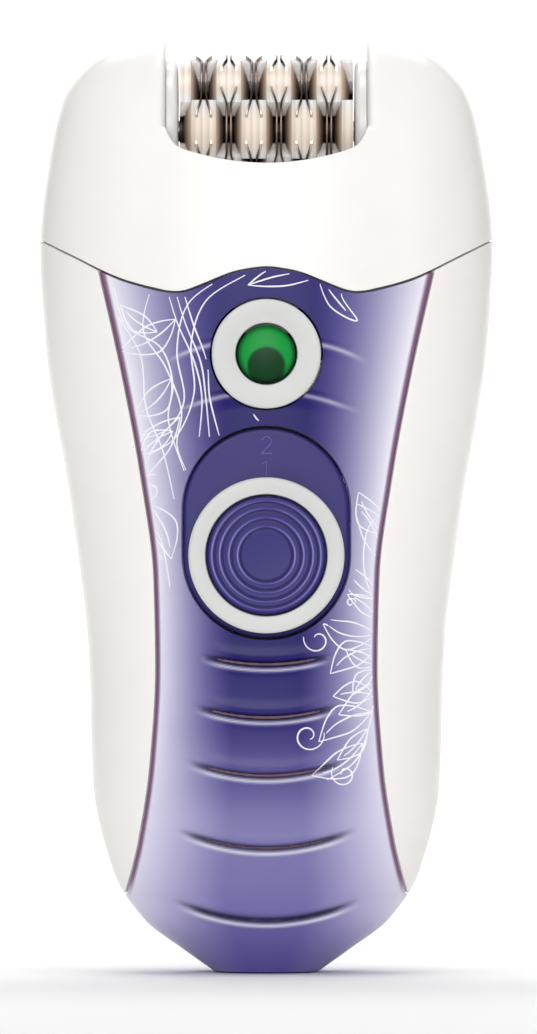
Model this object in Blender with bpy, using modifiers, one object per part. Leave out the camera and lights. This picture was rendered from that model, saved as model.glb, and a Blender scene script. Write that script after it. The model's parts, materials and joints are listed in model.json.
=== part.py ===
"""Cordless epilator: a two-shell handle with a sliding switch knob and a head release button,
and a lift-off head whose tweezer drum is driven through a shaft, a crown gear and a motor.

Run with: blender --background --python part.py
Metres, +Z up along the handle, front towards -Y, origin at the middle of the base."""

import math

import bmesh
import bpy
from mathutils import Matrix, Vector

MM = 0.001
NAME = "epilator"

# Overall sizes and the outer form.
HEIGHT = 132.0 * MM
WIDTH = 64.6 * MM
DEPTH = 36.4 * MM
ROUNDNESS = 2.4
# Shares of height, half width and half depth, from the base to the top.
FORM = (
    (0.000, 0.232, 0.460),
    (0.023, 0.365, 0.585),
    (0.055, 0.536, 0.735),
    (0.106, 0.672, 0.850),
    (0.205, 0.765, 0.930),
    (0.341, 0.785, 0.952),
    (0.508, 0.867, 0.984),
    (0.667, 0.972, 1.000),
    (0.786, 1.000, 0.990),
    (0.871, 0.960, 0.912),
    (0.939, 0.895, 0.780),
    (0.980, 0.765, 0.637),
    (1.000, 0.604, 0.467),
)
FORM_LEVELS = 15
FORM_SIDES = 24

# Gaps and walls.
GAP = 0.3 * MM
RUNNING = 0.2 * MM
SKIN = 1.2 * MM
WEB = 1.0 * MM
WALL = SKIN + GAP + WEB
HEAD_WALL = 2.2 * MM
EPS = 0.05 * MM

# The seam between head and handle: share of half width, drop below the top.
SEAM = (
    (0.000, 32.2 * MM),
    (0.139, 32.9 * MM),
    (0.269, 34.6 * MM),
    (0.387, 35.8 * MM),
    (0.600, 34.4 * MM),
    (0.867, 30.4 * MM),
    (1.000, 28.2 * MM),
)
# The panel's side edge: share of height, share of half width.
PANEL_EDGE = (
    (0.082, 0.615),
    (0.142, 0.554),
    (0.227, 0.502),
    (0.326, 0.478),
    (0.424, 0.486),
    (0.530, 0.542),
    (0.636, 0.622),
    (0.780, 0.755),
)
BOOT_TOP = 10.8 * MM

# Switch: recessed plate, sliding knob and its travel.
PLATE_RADIUS = 11.7 * MM
PLATE_LOW = HEIGHT - 72.9 * MM
PLATE_HIGH = HEIGHT - 66.6 * MM
PLATE_SINK = 1.7 * MM
PLATE_THICK = 1.3 * MM
KNOB_RADIUS = 11.0 * MM
KNOB_BORE = 8.6 * MM
KNOB_PROUD = 1.9 * MM
SWITCH_TRAVEL = 6.2 * MM
STEM_WIDTH = 5.0 * MM
STEM_HEIGHT = 4.0 * MM

# Release button with its lens, and the latch it moves.
BUTTON_Z = HEIGHT - 44.5 * MM
BUTTON_RADIUS = 7.7 * MM
BUTTON_DEPTH = 3.0 * MM
BUTTON_PROUD = 1.1 * MM
BUTTON_TRAVEL = 1.5 * MM
LENS_RADIUS = 4.05 * MM
LENS_DEPTH = 1.7 * MM
HOOK_WIDTH = 7.2 * MM
HOOK_THICK = 1.0 * MM
HOOK_NOSE = 1.2 * MM
HOOK_TIP_HEIGHT = 1.3 * MM

# Drum.
DRUM_DROP = 12.6 * MM
DRUM_RADIUS = 10.8 * MM
COLUMN_PITCH = 3.55 * MM
COLUMNS = 8
ARMS = 4
HUB_RADIUS = 0.463 * DRUM_RADIUS
AXLE_RADIUS = 1.5 * MM
BARREL_HALF = (0.2824 * DRUM_RADIUS, 2.7 * MM, 0.3611 * DRUM_RADIUS)
TWEEZER_RADIUS = DRUM_RADIUS + 0.1 * MM
TWEEZER_WIDTH = 2.4 * MM
TWEEZER_THICK = 1.0 * MM
TWEEZER_SLOT = 0.36 * MM
TWEEZER_HUB = 4.1 * MM
CHEEK_GAP = 0.25 * MM
CAM_THICK = 0.4 * MM
CHEEK_THICK = 0.7 * MM
TROUGH_THICK = 1.0 * MM
NOTCH_WALL = 1.0 * MM

# Gears.
MODULE = 0.7 * MM
PINION_TEETH = 8
CROWN_TEETH = 22
GEAR_TEETH = 20
CROWN_FACE = 2.4 * MM
CROWN_DISC = 1.1 * MM
GEAR_THICK = 3.4 * MM
HEX_RADIUS = 1.75 * MM

# Motor, cell, board and socket.
MOTOR_RADIUS = 10.0 * MM
MOTOR_FLAT = 7.55 * MM
MOTOR_LENGTH = 25.0 * MM
MOTOR_Y = 4.0 * MM
CAN_WALL = 0.8 * MM
CELL_RADIUS = 7.1 * MM
CELL_LENGTH = HEIGHT - 84.0 * MM
CELL_X = -10.5 * MM
CELL_Y = 3.5 * MM
CELL_Z = 22.0 * MM
BOARD_WIDTH = 21.0 * MM
BOARD_THICK = 1.2 * MM
BOARD_LOW = 26.0 * MM
BOARD_Y = -10.1 * MM
SOCKET_RADIUS = 2.1 * MM
SOCKET_BORE = 1.5 * MM
SCREW_SHANK = 1.0 * MM
SCREW_HEAD = 1.7 * MM
BOSS_RADIUS = 2.3 * MM


def smooth_curve(points, at):
    """Value at a place on the curve through the points, which never overshoots them."""
    xs = [point[0] for point in points]
    ys = [point[1] for point in points]
    slopes = [(ys[i + 1] - ys[i]) / (xs[i + 1] - xs[i]) for i in range(len(xs) - 1)]
    tangents = [slopes[0]]
    for before, after in zip(slopes, slopes[1:]):
        same_way = before * after > 0
        tangents.append(2 * before * after / (before + after) if same_way else 0.0)
    tangents.append(slopes[-1])
    at = min(max(at, xs[0]), xs[-1])
    i = max(k for k in range(len(xs) - 1) if xs[k] <= at)
    span = xs[i + 1] - xs[i]
    t = (at - xs[i]) / span
    return (
        (2 * t**3 - 3 * t**2 + 1) * ys[i]
        + (t**3 - 2 * t**2 + t) * span * tangents[i]
        + (3 * t**2 - 2 * t**3) * ys[i + 1]
        + (t**3 - t**2) * span * tangents[i + 1]
    )


def half_width(z):
    return smooth_curve([(p[0], p[1]) for p in FORM], z / HEIGHT) * WIDTH / 2


def half_depth(z):
    return smooth_curve([(p[0], p[2]) for p in FORM], z / HEIGHT) * DEPTH / 2


def seam_z(x):
    return HEIGHT - smooth_curve(SEAM, abs(x) / (WIDTH / 2))


def panel_half(z):
    return smooth_curve(PANEL_EDGE, z / HEIGHT) * WIDTH / 2


def front_y(z, inset=0.0):
    """Depth of the front surface on the centre line."""
    return inset - half_depth(z)


# Heights that follow from the sizes above.
DRUM_Z = HEIGHT - DRUM_DROP
DRUM_HALF = COLUMNS / 2 * COLUMN_PITCH - COLUMN_PITCH / 2 - EPS * 2
CAM_X = DRUM_HALF + CHEEK_GAP
CHEEK_X = CAM_X + CAM_THICK + GAP
NOTCH_HALF = CHEEK_X + CHEEK_THICK + GAP
CROWN_X = NOTCH_HALF + NOTCH_WALL + GAP
TOOTH = 2.0 * MODULE
CROWN_TIP_X = CROWN_X + CROWN_DISC + TOOTH
PINION_RADIUS = MODULE * PINION_TEETH / 2
GEAR_RADIUS = MODULE * GEAR_TEETH / 2
CROWN_RADIUS = MODULE * CROWN_TEETH / 2
SHAFT_X = CROWN_TIP_X - 0.5 * TOOTH + PINION_RADIUS
NECK_Z = HEIGHT - 38.0 * MM
NECK_PLATE = 1.5 * MM
NECK_RIM = HEIGHT - 27.5 * MM
GEAR_Z = NECK_Z - GAP - GEAR_THICK - 0.2 * MM
GEAR_PLATE_Z = GEAR_Z - GAP - 1.5 * MM
GEAR_PLATE = 1.5 * MM
MOTOR_TOP = GEAR_PLATE_Z - 1.5 * MM
CENTRES = GEAR_RADIUS + PINION_RADIUS
MOTOR_X = SHAFT_X - math.sqrt(CENTRES**2 - MOTOR_Y**2)
BASE_PLATE_Z = HEIGHT - 27.0 * MM
BASE_PLATE = 1.4 * MM
SWITCH_Z = PLATE_LOW
PLATE_FACE_Y = front_y(SWITCH_Z) + PLATE_SINK
KNOB_FACE_Y = front_y(SWITCH_Z) - KNOB_PROUD
BUTTON_FACE_Y = front_y(BUTTON_Z) - BUTTON_PROUD
HOOK_Y = front_y(NECK_Z) + WALL + 4.2 * MM
HOOK_TOP = BASE_PLATE_Z - 2.2 * MM
BACK = Matrix.Rotation(math.pi / 2, 4, "X")
ALONG_X = Matrix(((0, 0, 1, 0), (1, 0, 0, 0), (0, 1, 0, 0), (0, 0, 0, 1)))
UPRIGHT = Matrix.Identity(4)


def new_collection(name, hidden=False):
    collection = bpy.data.collections.new(name)
    bpy.context.scene.collection.children.link(collection)
    collection.hide_render = hidden
    return collection


for old in list(bpy.data.objects):
    bpy.data.objects.remove(old, do_unlink=True)
PARTS = new_collection(NAME)
CUTTERS = new_collection(NAME + "_cutters", hidden=True)


def material(name, colour, roughness, metallic=0.0):
    made = bpy.data.materials.get(name) or bpy.data.materials.new(name)
    made.use_nodes = True
    shader = made.node_tree.nodes["Principled BSDF"]
    shader.inputs["Base Color"].default_value = (*colour, 1.0)
    shader.inputs["Roughness"].default_value = roughness
    shader.inputs["Metallic"].default_value = metallic
    return made


PEARL = material("pearl_white_plastic", (0.86, 0.84, 0.80), 0.28)
VIOLET = material("violet_plastic", (0.13, 0.09, 0.36), 0.25)
SILVER = material("silver_plastic", (0.74, 0.74, 0.72), 0.3, 0.3)
GREEN = material("green_lens", (0.0, 0.36, 0.05), 0.12)
GREY = material("light_grey_plastic", (0.70, 0.69, 0.67), 0.4)
BARREL = material("barrel_plastic", (0.62, 0.58, 0.53), 0.35)
STEEL = material("spring_steel", (0.34, 0.30, 0.27), 0.25, 1.0)
BRIGHT = material("bright_steel", (0.62, 0.62, 0.63), 0.25, 1.0)
BLACK = material("black_plastic", (0.03, 0.03, 0.03), 0.5)
GEAR = material("acetal_gear", (0.82, 0.80, 0.72), 0.45)
BRASS = material("brass", (0.72, 0.52, 0.22), 0.3, 1.0)
BOARD = material("board_green", (0.03, 0.20, 0.08), 0.5)
CELL = material("cell_wrap", (0.08, 0.24, 0.45), 0.4)


def place(mesh, name, finish, origin=(0, 0, 0)):
    """A named object for a world-space mesh; a cutter has no finish. Its origin moves to the given point."""
    origin = Vector(origin)
    mesh.transform(Matrix.Translation(-origin))
    made = bpy.data.objects.new(name, mesh)
    made.location = origin
    if finish is None:
        CUTTERS.objects.link(made)
        made.hide_render = True
        made.display_type = "WIRE"
        return made
    PARTS.objects.link(made)
    mesh.materials.clear()
    mesh.materials.append(finish)
    mesh.shade_smooth()
    mesh.set_sharp_from_angle(angle=math.radians(35))
    return made


def from_bmesh(bm):
    bmesh.ops.recalc_face_normals(bm, faces=bm.faces)
    mesh = bpy.data.meshes.new("mesh")
    bm.to_mesh(mesh)
    bm.free()
    return mesh


def form(name, finish, inset, low=None, high=None):
    """The outer form, moved inwards by the inset, between two heights: a loft of superellipses."""
    bottom = inset if low is None else low
    top = HEIGHT - inset if high is None else high
    span = HEIGHT - 2 * inset
    steps = [0.5 - 0.5 * math.cos(math.pi * k / FORM_LEVELS) for k in range(FORM_LEVELS + 1)]
    heights = [inset + step * span for step in steps]
    margin = 0.4 * MM
    heights = [bottom] + [z for z in heights if bottom + margin < z < top - margin] + [top]
    bm = bmesh.new()
    rings = []
    for z in heights:
        level = (z - inset) / span * HEIGHT
        a = half_width(level) - inset
        b = half_depth(level) - inset
        ring = []
        for k in range(FORM_SIDES):
            turn = 2 * math.pi * k / FORM_SIDES
            x = math.copysign(abs(math.cos(turn)) ** (2 / ROUNDNESS), math.cos(turn)) * a
            y = math.copysign(abs(math.sin(turn)) ** (2 / ROUNDNESS), math.sin(turn)) * b
            ring.append(bm.verts.new((x, y, z)))
        rings.append(ring)
    for lower, upper in zip(rings, rings[1:]):
        for k in range(FORM_SIDES):
            after = (k + 1) % FORM_SIDES
            bm.faces.new((lower[k], lower[after], upper[after], upper[k]))
    bm.faces.new(rings[0])
    bm.faces.new(rings[-1])
    return place(from_bmesh(bm), name, finish)


def outline(name, finish, points, low, high, turn=UPRIGHT, origin=(0, 0, 0)):
    """A flat outline made thick from low to high, along the axis that the turn gives it."""
    curve = bpy.data.curves.new("outline", "CURVE")
    curve.dimensions = "2D"
    curve.fill_mode = "BOTH"
    curve.extrude = (high - low) / 2
    spline = curve.splines.new("POLY")
    spline.points.add(len(points) - 1)
    for point, (x, y) in zip(spline.points, points):
        point.co = (x, y, 0, 1)
    spline.use_cyclic_u = True
    shape = bpy.data.objects.new("outline", curve)
    CUTTERS.objects.link(shape)
    bpy.context.view_layer.update()
    mesh = bpy.data.meshes.new_from_object(shape.evaluated_get(bpy.context.evaluated_depsgraph_get()))
    bpy.data.objects.remove(shape)
    middle = Matrix.Translation((0, 0, (high + low) / 2))
    mesh.transform(turn @ middle)
    bm = bmesh.new()
    bm.from_mesh(mesh)
    bmesh.ops.remove_doubles(bm, verts=bm.verts, dist=1e-6)
    bmesh.ops.dissolve_degenerate(bm, edges=bm.edges, dist=1e-7)
    return place(from_bmesh(bm), name, finish, origin)


def across(name, finish, points, low, high, origin=(0, 0, 0)):
    """An outline of (x, z) points, thick along Y."""
    turn = Matrix(((1, 0, 0, 0), (0, 0, 1, 0), (0, 1, 0, 0), (0, 0, 0, 1)))
    return outline(name, finish, points, low, high, turn, origin)


def turned(name, finish, profile, centre, turn=UPRIGHT, steps=20, ring=False):
    """A turned shape: its profile of (radius, height) runs down the outer side; a ring closes on itself."""
    mesh = bpy.data.meshes.new("profile")
    edges = [(k, k + 1) for k in range(len(profile) - 1)]
    if ring:
        edges.append((len(profile) - 1, 0))
    mesh.from_pydata([(r, 0, z) for r, z in profile], edges, [])
    made = place(mesh, name, finish)
    made.matrix_world = Matrix.Translation(centre) @ turn
    screw = made.modifiers.new("turn", "SCREW")
    screw.axis = "Z"
    screw.angle = 2 * math.pi
    screw.steps = steps
    screw.render_steps = steps
    screw.use_merge_vertices = True
    screw.merge_threshold = 1e-6
    screw.use_smooth_shade = True
    return made


def rod(name, finish, radius, low, high, centre=(0, 0, 0), turn=UPRIGHT, steps=20):
    profile = [(0, high), (radius, high), (radius, low), (0, low)]
    return turned(name, finish, profile, centre, turn, steps)


def tube(name, finish, outer, inner, low, high, centre=(0, 0, 0), turn=UPRIGHT, steps=20):
    profile = [(outer, high), (outer, low), (inner, low), (inner, high)]
    return turned(name, finish, profile, centre, turn, steps, ring=True)


def box(name, finish, low, high, origin=(0, 0, 0)):
    bm = bmesh.new()
    bmesh.ops.create_cube(bm, size=1)
    size = Vector(high) - Vector(low)
    middle = (Vector(high) + Vector(low)) / 2
    bm.transform(Matrix.Translation(middle) @ Matrix.Diagonal((*size, 1)))
    return place(from_bmesh(bm), name, finish, origin)


def combine(made, operation, *others):
    for other in others:
        step = made.modifiers.new(operation.lower(), "BOOLEAN")
        step.operation = operation
        step.object = other
    return made


def cut(made, *others):
    return combine(made, "DIFFERENCE", *others)


def join(made, *others):
    return combine(made, "UNION", *others)


def keep(made, *others):
    return combine(made, "INTERSECT", *others)


def stadium(radius, low, high, steps=12):
    """Outline of (x, z) points: two half circles around two heights on the centre line."""
    points = []
    for centre, start in ((high, 0.0), (low, math.pi)):
        for k in range(steps + 1):
            turn = start + math.pi * k / steps
            points.append((radius * math.cos(turn), centre + radius * math.sin(turn)))
    return points


def seam_cutter(name, gap, above):
    """Everything above the seam, or below it, extruded along Y."""
    reach = WIDTH
    count = 22
    xs = [WIDTH / 2 * (2 * k / count - 1) for k in range(count + 1)]
    edge = [(x, seam_z(x) + gap) for x in xs]
    far = HEIGHT + 10 * MM if above else -10 * MM
    ends = [(reach, edge[-1][1]), (reach, far), (-reach, far), (-reach, edge[0][1])]
    return across(name, None, edge + ends, -DEPTH, DEPTH)


def panel_prism(name, grow):
    """The panel's hourglass outline, grown by a gap, from the boot up past the seam."""
    low = BOOT_TOP - 2 * MM
    high = HEIGHT - SEAM[0][1] + 4 * MM
    count = 14
    heights = [low + (high - low) * k / count for k in range(count + 1)]
    right = [(panel_half(z) + grow, z) for z in heights]
    left = [(-x, z) for x, z in reversed(right)]
    return across(name, None, right + left, -DEPTH, -GAP / 2)


def boot_block(name, grow):
    low = (-WIDTH, -DEPTH, -5 * MM)
    return box(name, None, low, (WIDTH, DEPTH, BOOT_TOP + grow))


def screw_places():
    """Centres of the four housing screws: two over the base, two beside the motor."""
    low_z = 15.0 * MM
    high_z = 0.5758 * HEIGHT
    reach = WALL + BOSS_RADIUS + GAP
    low_x = half_width(low_z) - reach - 1.5 * MM
    high_x = half_width(high_z) - reach - 0.4 * MM
    return [(-low_x, low_z), (low_x, low_z), (-high_x, high_z), (high_x, high_z)]


def housings():
    """Front and rear shells, the violet front panel with its boot, and the recessed switch plate."""
    below = seam_cutter("below_seam", -GAP / 2, above=False)
    front_half = box("front_half", None, (-WIDTH, -DEPTH, -5 * MM), (WIDTH, -GAP / 2, HEIGHT))
    rear_half = box("rear_half", None, (-WIDTH, GAP / 2, -5 * MM), (WIDTH, DEPTH, HEIGHT))
    top = HEIGHT - SEAM[-1][1] + 6 * MM
    under = SKIN + GAP
    inner_form = form("inner_form", None, WALL, high=top + 3 * MM)
    motor_low = MOTOR_TOP - MOTOR_LENGTH - 2.4 * MM
    motor_room = rod(
        "motor_room", None, MOTOR_RADIUS + GAP, motor_low, MOTOR_TOP, (MOTOR_X, MOTOR_Y, 0)
    )
    room_low = (-WIDTH, MOTOR_Y - MOTOR_FLAT - GAP, 0)
    keep(motor_room, box("room_flats", None, room_low, (WIDTH, MOTOR_Y + MOTOR_FLAT + GAP, HEIGHT)))
    join(inner_form, motor_room)
    web_form = form("web_form", None, under, high=top + 1 * MM)
    skin_form = form("skin_form", None, SKIN, high=top + 2 * MM)
    boss_form = form("boss_form", None, under + WEB / 2, high=top)
    panel_gap = join(panel_prism("panel_gap_prism", GAP), boot_block("panel_gap_boot", GAP))

    plate_hole = across(
        "plate_hole", None, stadium(PLATE_RADIUS + GAP, PLATE_LOW, PLATE_HIGH), -DEPTH, -4 * MM
    )
    button_hole = rod(
        "button_hole", None, BUTTON_RADIUS + GAP, 5 * MM, DEPTH, (0, 0, BUTTON_Z), BACK, 32
    )
    socket_hole = rod("socket_hole", None, SOCKET_RADIUS + GAP, -5 * MM, 6 * MM)

    front = form("front_shell", PEARL, 0.0, high=top)
    cut(front, panel_gap)
    join(front, web_form)
    cut(front, inner_form)
    rear = form("rear_shell", PEARL, 0.0, high=top)
    cut(rear, boot_block("rear_boot_gap", GAP))
    join(rear, web_form)
    cut(rear, inner_form)
    for k, (x, z) in enumerate(screw_places()):
        reach = half_depth(z) * 0.9
        place_at = (x, 0, z)
        front_boss = rod(f"front_boss_{k}", None, BOSS_RADIUS, GAP / 2, reach, place_at, BACK, 16)
        rear_boss = rod(f"rear_boss_{k}", None, BOSS_RADIUS, -reach, -GAP / 2, place_at, BACK, 16)
        join(front, keep(front_boss, boss_form))
        join(rear, keep(rear_boss, boss_form))
        depth = 3.5 * MM
        room = [
            (0, 7.0 * MM),
            (SCREW_SHANK + EPS, 7.0 * MM),
            (SCREW_SHANK + EPS, -depth),
            (SCREW_HEAD + RUNNING, -depth),
            (SCREW_HEAD + RUNNING, -DEPTH),
            (0, -DEPTH),
        ]
        screw_room = turned(f"screw_room_{k}", None, room, place_at, BACK, 14)
        cut(front, screw_room)
        cut(rear, screw_room)
        profile = [
            (0, 6.5 * MM),
            (SCREW_SHANK - EPS, 6.5 * MM),
            (SCREW_SHANK - EPS, -depth - GAP),
            (SCREW_HEAD, -depth - GAP),
            (SCREW_HEAD, -depth - GAP - 1.4 * MM),
            (0, -depth - GAP - 1.4 * MM),
        ]
        turned(f"housing_screw_{k + 1}", BRIGHT, profile, place_at, BACK, 14)
    keep(front, front_half, below)
    keep(rear, rear_half, below)
    cut(front, plate_hole, button_hole, socket_hole)
    cut(rear, socket_hole)

    panel = form("front_panel", VIOLET, 0.0, high=top)
    keep(panel, join(panel_prism("panel_prism", 0.0), boot_block("panel_boot", 0.0)), below)
    cut(panel, skin_form, plate_hole, button_hole)
    cut(panel, rod("inlet_hole", None, SOCKET_RADIUS + GAP, -5 * MM, 6 * MM))

    slot_low = SWITCH_Z - STEM_HEIGHT / 2
    slot_high = SWITCH_Z + SWITCH_TRAVEL + STEM_HEIGHT / 2
    slot = stadium(STEM_WIDTH / 2 + GAP, slot_low, slot_high, 6)
    plate = across(
        "switch_plate",
        VIOLET,
        stadium(PLATE_RADIUS, PLATE_LOW, PLATE_HIGH),
        PLATE_FACE_Y,
        PLATE_FACE_Y + PLATE_THICK,
    )
    cut(plate, across("stem_slot", None, slot, -DEPTH, 0))


def switch_knob():
    """Slider with its stem, and the ring and dished cap on it. It slides up along +Z."""
    centre = (0, 0, SWITCH_Z)
    back = -(PLATE_FACE_Y - GAP)
    face = -KNOB_FACE_Y
    base = back + 1.2 * MM
    slider = rod("switch_slider", VIOLET, KNOB_BORE - GAP, back, base, centre, BACK, 32)
    stem = box(
        "slider_stem",
        None,
        (-STEM_WIDTH / 2, -back - EPS, SWITCH_Z - STEM_HEIGHT / 2),
        (STEM_WIDTH / 2, PLATE_FACE_Y + PLATE_THICK + 1.6 * MM, SWITCH_Z + STEM_HEIGHT / 2),
    )
    join(slider, stem)
    ring = [
        (KNOB_RADIUS - 0.9 * MM, face - 0.3 * MM),
        (KNOB_RADIUS, back + 0.6 * MM),
        (KNOB_RADIUS, back),
        (KNOB_BORE, back),
        (KNOB_BORE, face - 0.2 * MM),
        (KNOB_BORE + 0.6 * MM, face),
    ]
    turned("knob_ring", SILVER, ring, centre, BACK, 32, ring=True)
    cap = [
        (0, face - 1.1 * MM),
        (KNOB_BORE * 0.62, face - 0.9 * MM),
        (KNOB_BORE - 0.9 * MM, face - 0.3 * MM),
        (KNOB_BORE - GAP, face - 0.6 * MM),
        (KNOB_BORE - GAP, base + GAP),
        (0, base + GAP),
    ]
    turned("knob_cap", VIOLET, cap, centre, BACK, 32)


def release_button():
    """Button ring, lens, latch hook and return spring. The button is pushed in along +Y."""
    centre = (0, 0, BUTTON_Z)
    face = -BUTTON_FACE_Y
    back = face - BUTTON_DEPTH
    bore = LENS_RADIUS + GAP
    ring = [
        (BUTTON_RADIUS - 0.5 * MM, face),
        (BUTTON_RADIUS, face - 0.5 * MM),
        (BUTTON_RADIUS, back),
        (bore, back),
        (bore, face - 0.3 * MM),
        (bore + 0.3 * MM, face),
    ]
    turned("release_button", SILVER, ring, centre, BACK, 32, ring=True)
    lens_back = face - LENS_DEPTH - 0.6 * MM
    lens = [
        (0, face - 0.2 * MM),
        (LENS_RADIUS * 0.6, face - 0.35 * MM),
        (LENS_RADIUS, face - 0.9 * MM),
        (LENS_RADIUS, lens_back),
        (0, lens_back),
    ]
    turned("indicator_lens", GREEN, lens, centre, BACK, 24)

    foot_low = BUTTON_Z + 3.0 * MM
    foot_high = foot_low + 2.0 * MM
    front = HOOK_Y
    rear = HOOK_Y + HOOK_THICK
    button_back = -back + GAP
    tip = HOOK_TOP - HOOK_TIP_HEIGHT
    profile = [
        (button_back, foot_low),
        (rear, foot_low),
        (rear, HOOK_TOP),
        (front - HOOK_NOSE, HOOK_TOP),
        (front - HOOK_NOSE, tip + 0.3 * MM),
        (front, tip),
        (front, foot_high),
        (button_back, foot_high),
    ]
    half = HOOK_WIDTH / 2
    outline("latch_hook", SILVER, profile, -half, half, ALONG_X)
    spring_front = -lens_back + GAP
    coil("release_spring", 2.3 * MM, 0.25 * MM, 4, spring_front, BOARD_Y - GAP, (0, BUTTON_Z))


def coil(name, radius, wire, turns, low, high, centre):
    """A round spring along Y about a centre (x, z)."""
    per_turn = 10
    count = turns * per_turn
    curve = bpy.data.curves.new(name, "CURVE")
    curve.dimensions = "3D"
    curve.bevel_depth = wire
    curve.bevel_resolution = 1
    curve.use_fill_caps = True
    spline = curve.splines.new("POLY")
    spline.points.add(count)
    start = low + wire
    rise = (high - wire - start) / count
    for k, point in enumerate(spline.points):
        turn = 2 * math.pi * k / per_turn
        x = centre[0] + radius * math.cos(turn)
        z = centre[1] + radius * math.sin(turn)
        point.co = (x, start + rise * k, z, 1)
    made = bpy.data.objects.new(name, curve)
    made.data.materials.append(BRIGHT)
    PARTS.objects.link(made)
    return made


def electrics():
    """Cell with its contacts, board, slide switch, lamp and charging socket."""
    centre = (CELL_X, CELL_Y, CELL_Z)
    cell = [
        (0, CELL_LENGTH + 1.0 * MM),
        (2.5 * MM, CELL_LENGTH + 1.0 * MM),
        (2.5 * MM, CELL_LENGTH),
        (CELL_RADIUS, CELL_LENGTH),
        (CELL_RADIUS, 0),
        (0, 0),
    ]
    turned("battery_cell", CELL, cell, centre)
    top = CELL_Z + CELL_LENGTH + 1.0 * MM + GAP
    half = 4.5 * MM
    box(
        "battery_contact",
        BRIGHT,
        (CELL_X - half, CELL_Y - half, top),
        (CELL_X + half, CELL_Y + half, top + 0.5 * MM),
    )
    low = CELL_Z - GAP - 0.5 * MM
    box(
        "battery_spring_plate",
        BRIGHT,
        (CELL_X - half, CELL_Y - half, low),
        (CELL_X + half, CELL_Y + half, low + 0.5 * MM),
    )
    board_rear = BOARD_Y + BOARD_THICK
    tongue = 5.0 * MM
    half = BOARD_WIDTH / 2
    step = GEAR_PLATE_Z - 6.5 * MM
    high = BUTTON_Z + 2.5 * MM
    points = [
        (-half, BOARD_LOW),
        (half, BOARD_LOW),
        (half, step),
        (tongue, step),
        (tongue, high),
        (-tongue, high),
        (-tongue, step),
        (-half, step),
    ]
    across("circuit_board", BOARD, points, BOARD_Y, board_rear)
    middle = SWITCH_Z + SWITCH_TRAVEL / 2
    stem_end = PLATE_FACE_Y + PLATE_THICK + 1.6 * MM
    box(
        "slide_switch",
        BLACK,
        (-4.5 * MM, stem_end + GAP, middle - 8.0 * MM),
        (4.5 * MM, BOARD_Y - GAP, middle + 8.0 * MM),
    )
    lamp_top = -BOARD_Y + 3.9 * MM
    lamp_base = -BOARD_Y + GAP
    lamp = [
        (0, lamp_top),
        (0.9 * MM, lamp_top - 0.4 * MM),
        (1.5 * MM, lamp_top - 1.4 * MM),
        (1.5 * MM, lamp_base),
        (0, lamp_base),
    ]
    turned("indicator_lamp", GREEN, lamp, (0, 0, BUTTON_Z), BACK, 12)

    block = 4.0 * MM
    low = WALL + 3.5 * MM
    high = low + 10.0 * MM
    socket = box("charge_socket", BLACK, (-block, -block, low), (block, block, high))
    join(socket, rod("socket_nose", None, SOCKET_RADIUS, 0.6 * MM, low + 1.0 * MM))
    cut(socket, rod("socket_bore", None, SOCKET_BORE, -1.0 * MM, high - 1.5 * MM, steps=16))
    join(socket, rod("socket_pin", None, 0.5 * MM, 2.0 * MM, high - 1.0 * MM, steps=8))


def gear_points(teeth, radius, addendum, dedendum, tooth_at):
    """Outline of a spur gear with straight-sided teeth; one tooth points along tooth_at."""
    pitch = 2 * math.pi / teeth
    root_half = 0.27 * pitch
    tip_half = 0.11 * pitch
    points = []
    for k in range(teeth):
        middle = tooth_at + k * pitch
        for offset, r in (
            (-root_half, radius - dedendum),
            (-tip_half, radius + addendum),
            (tip_half, radius + addendum),
            (root_half, radius - dedendum),
        ):
            points.append((r * math.cos(middle + offset), r * math.sin(middle + offset)))
    return points


def spur_gear(name, finish, teeth, tooth_at, centre, low, high, bore):
    radius = MODULE * teeth / 2
    shape = gear_points(teeth, radius, 0.7 * MODULE, 1.25 * MODULE, tooth_at)
    points = [(x + centre[0], y + centre[1]) for x, y in shape]
    made = outline(name, finish, points, low, high, origin=(*centre, low))
    cut(made, rod(name + "_bore", None, bore, low - MM, high + MM, (*centre, 0), steps=16))
    return made


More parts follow.
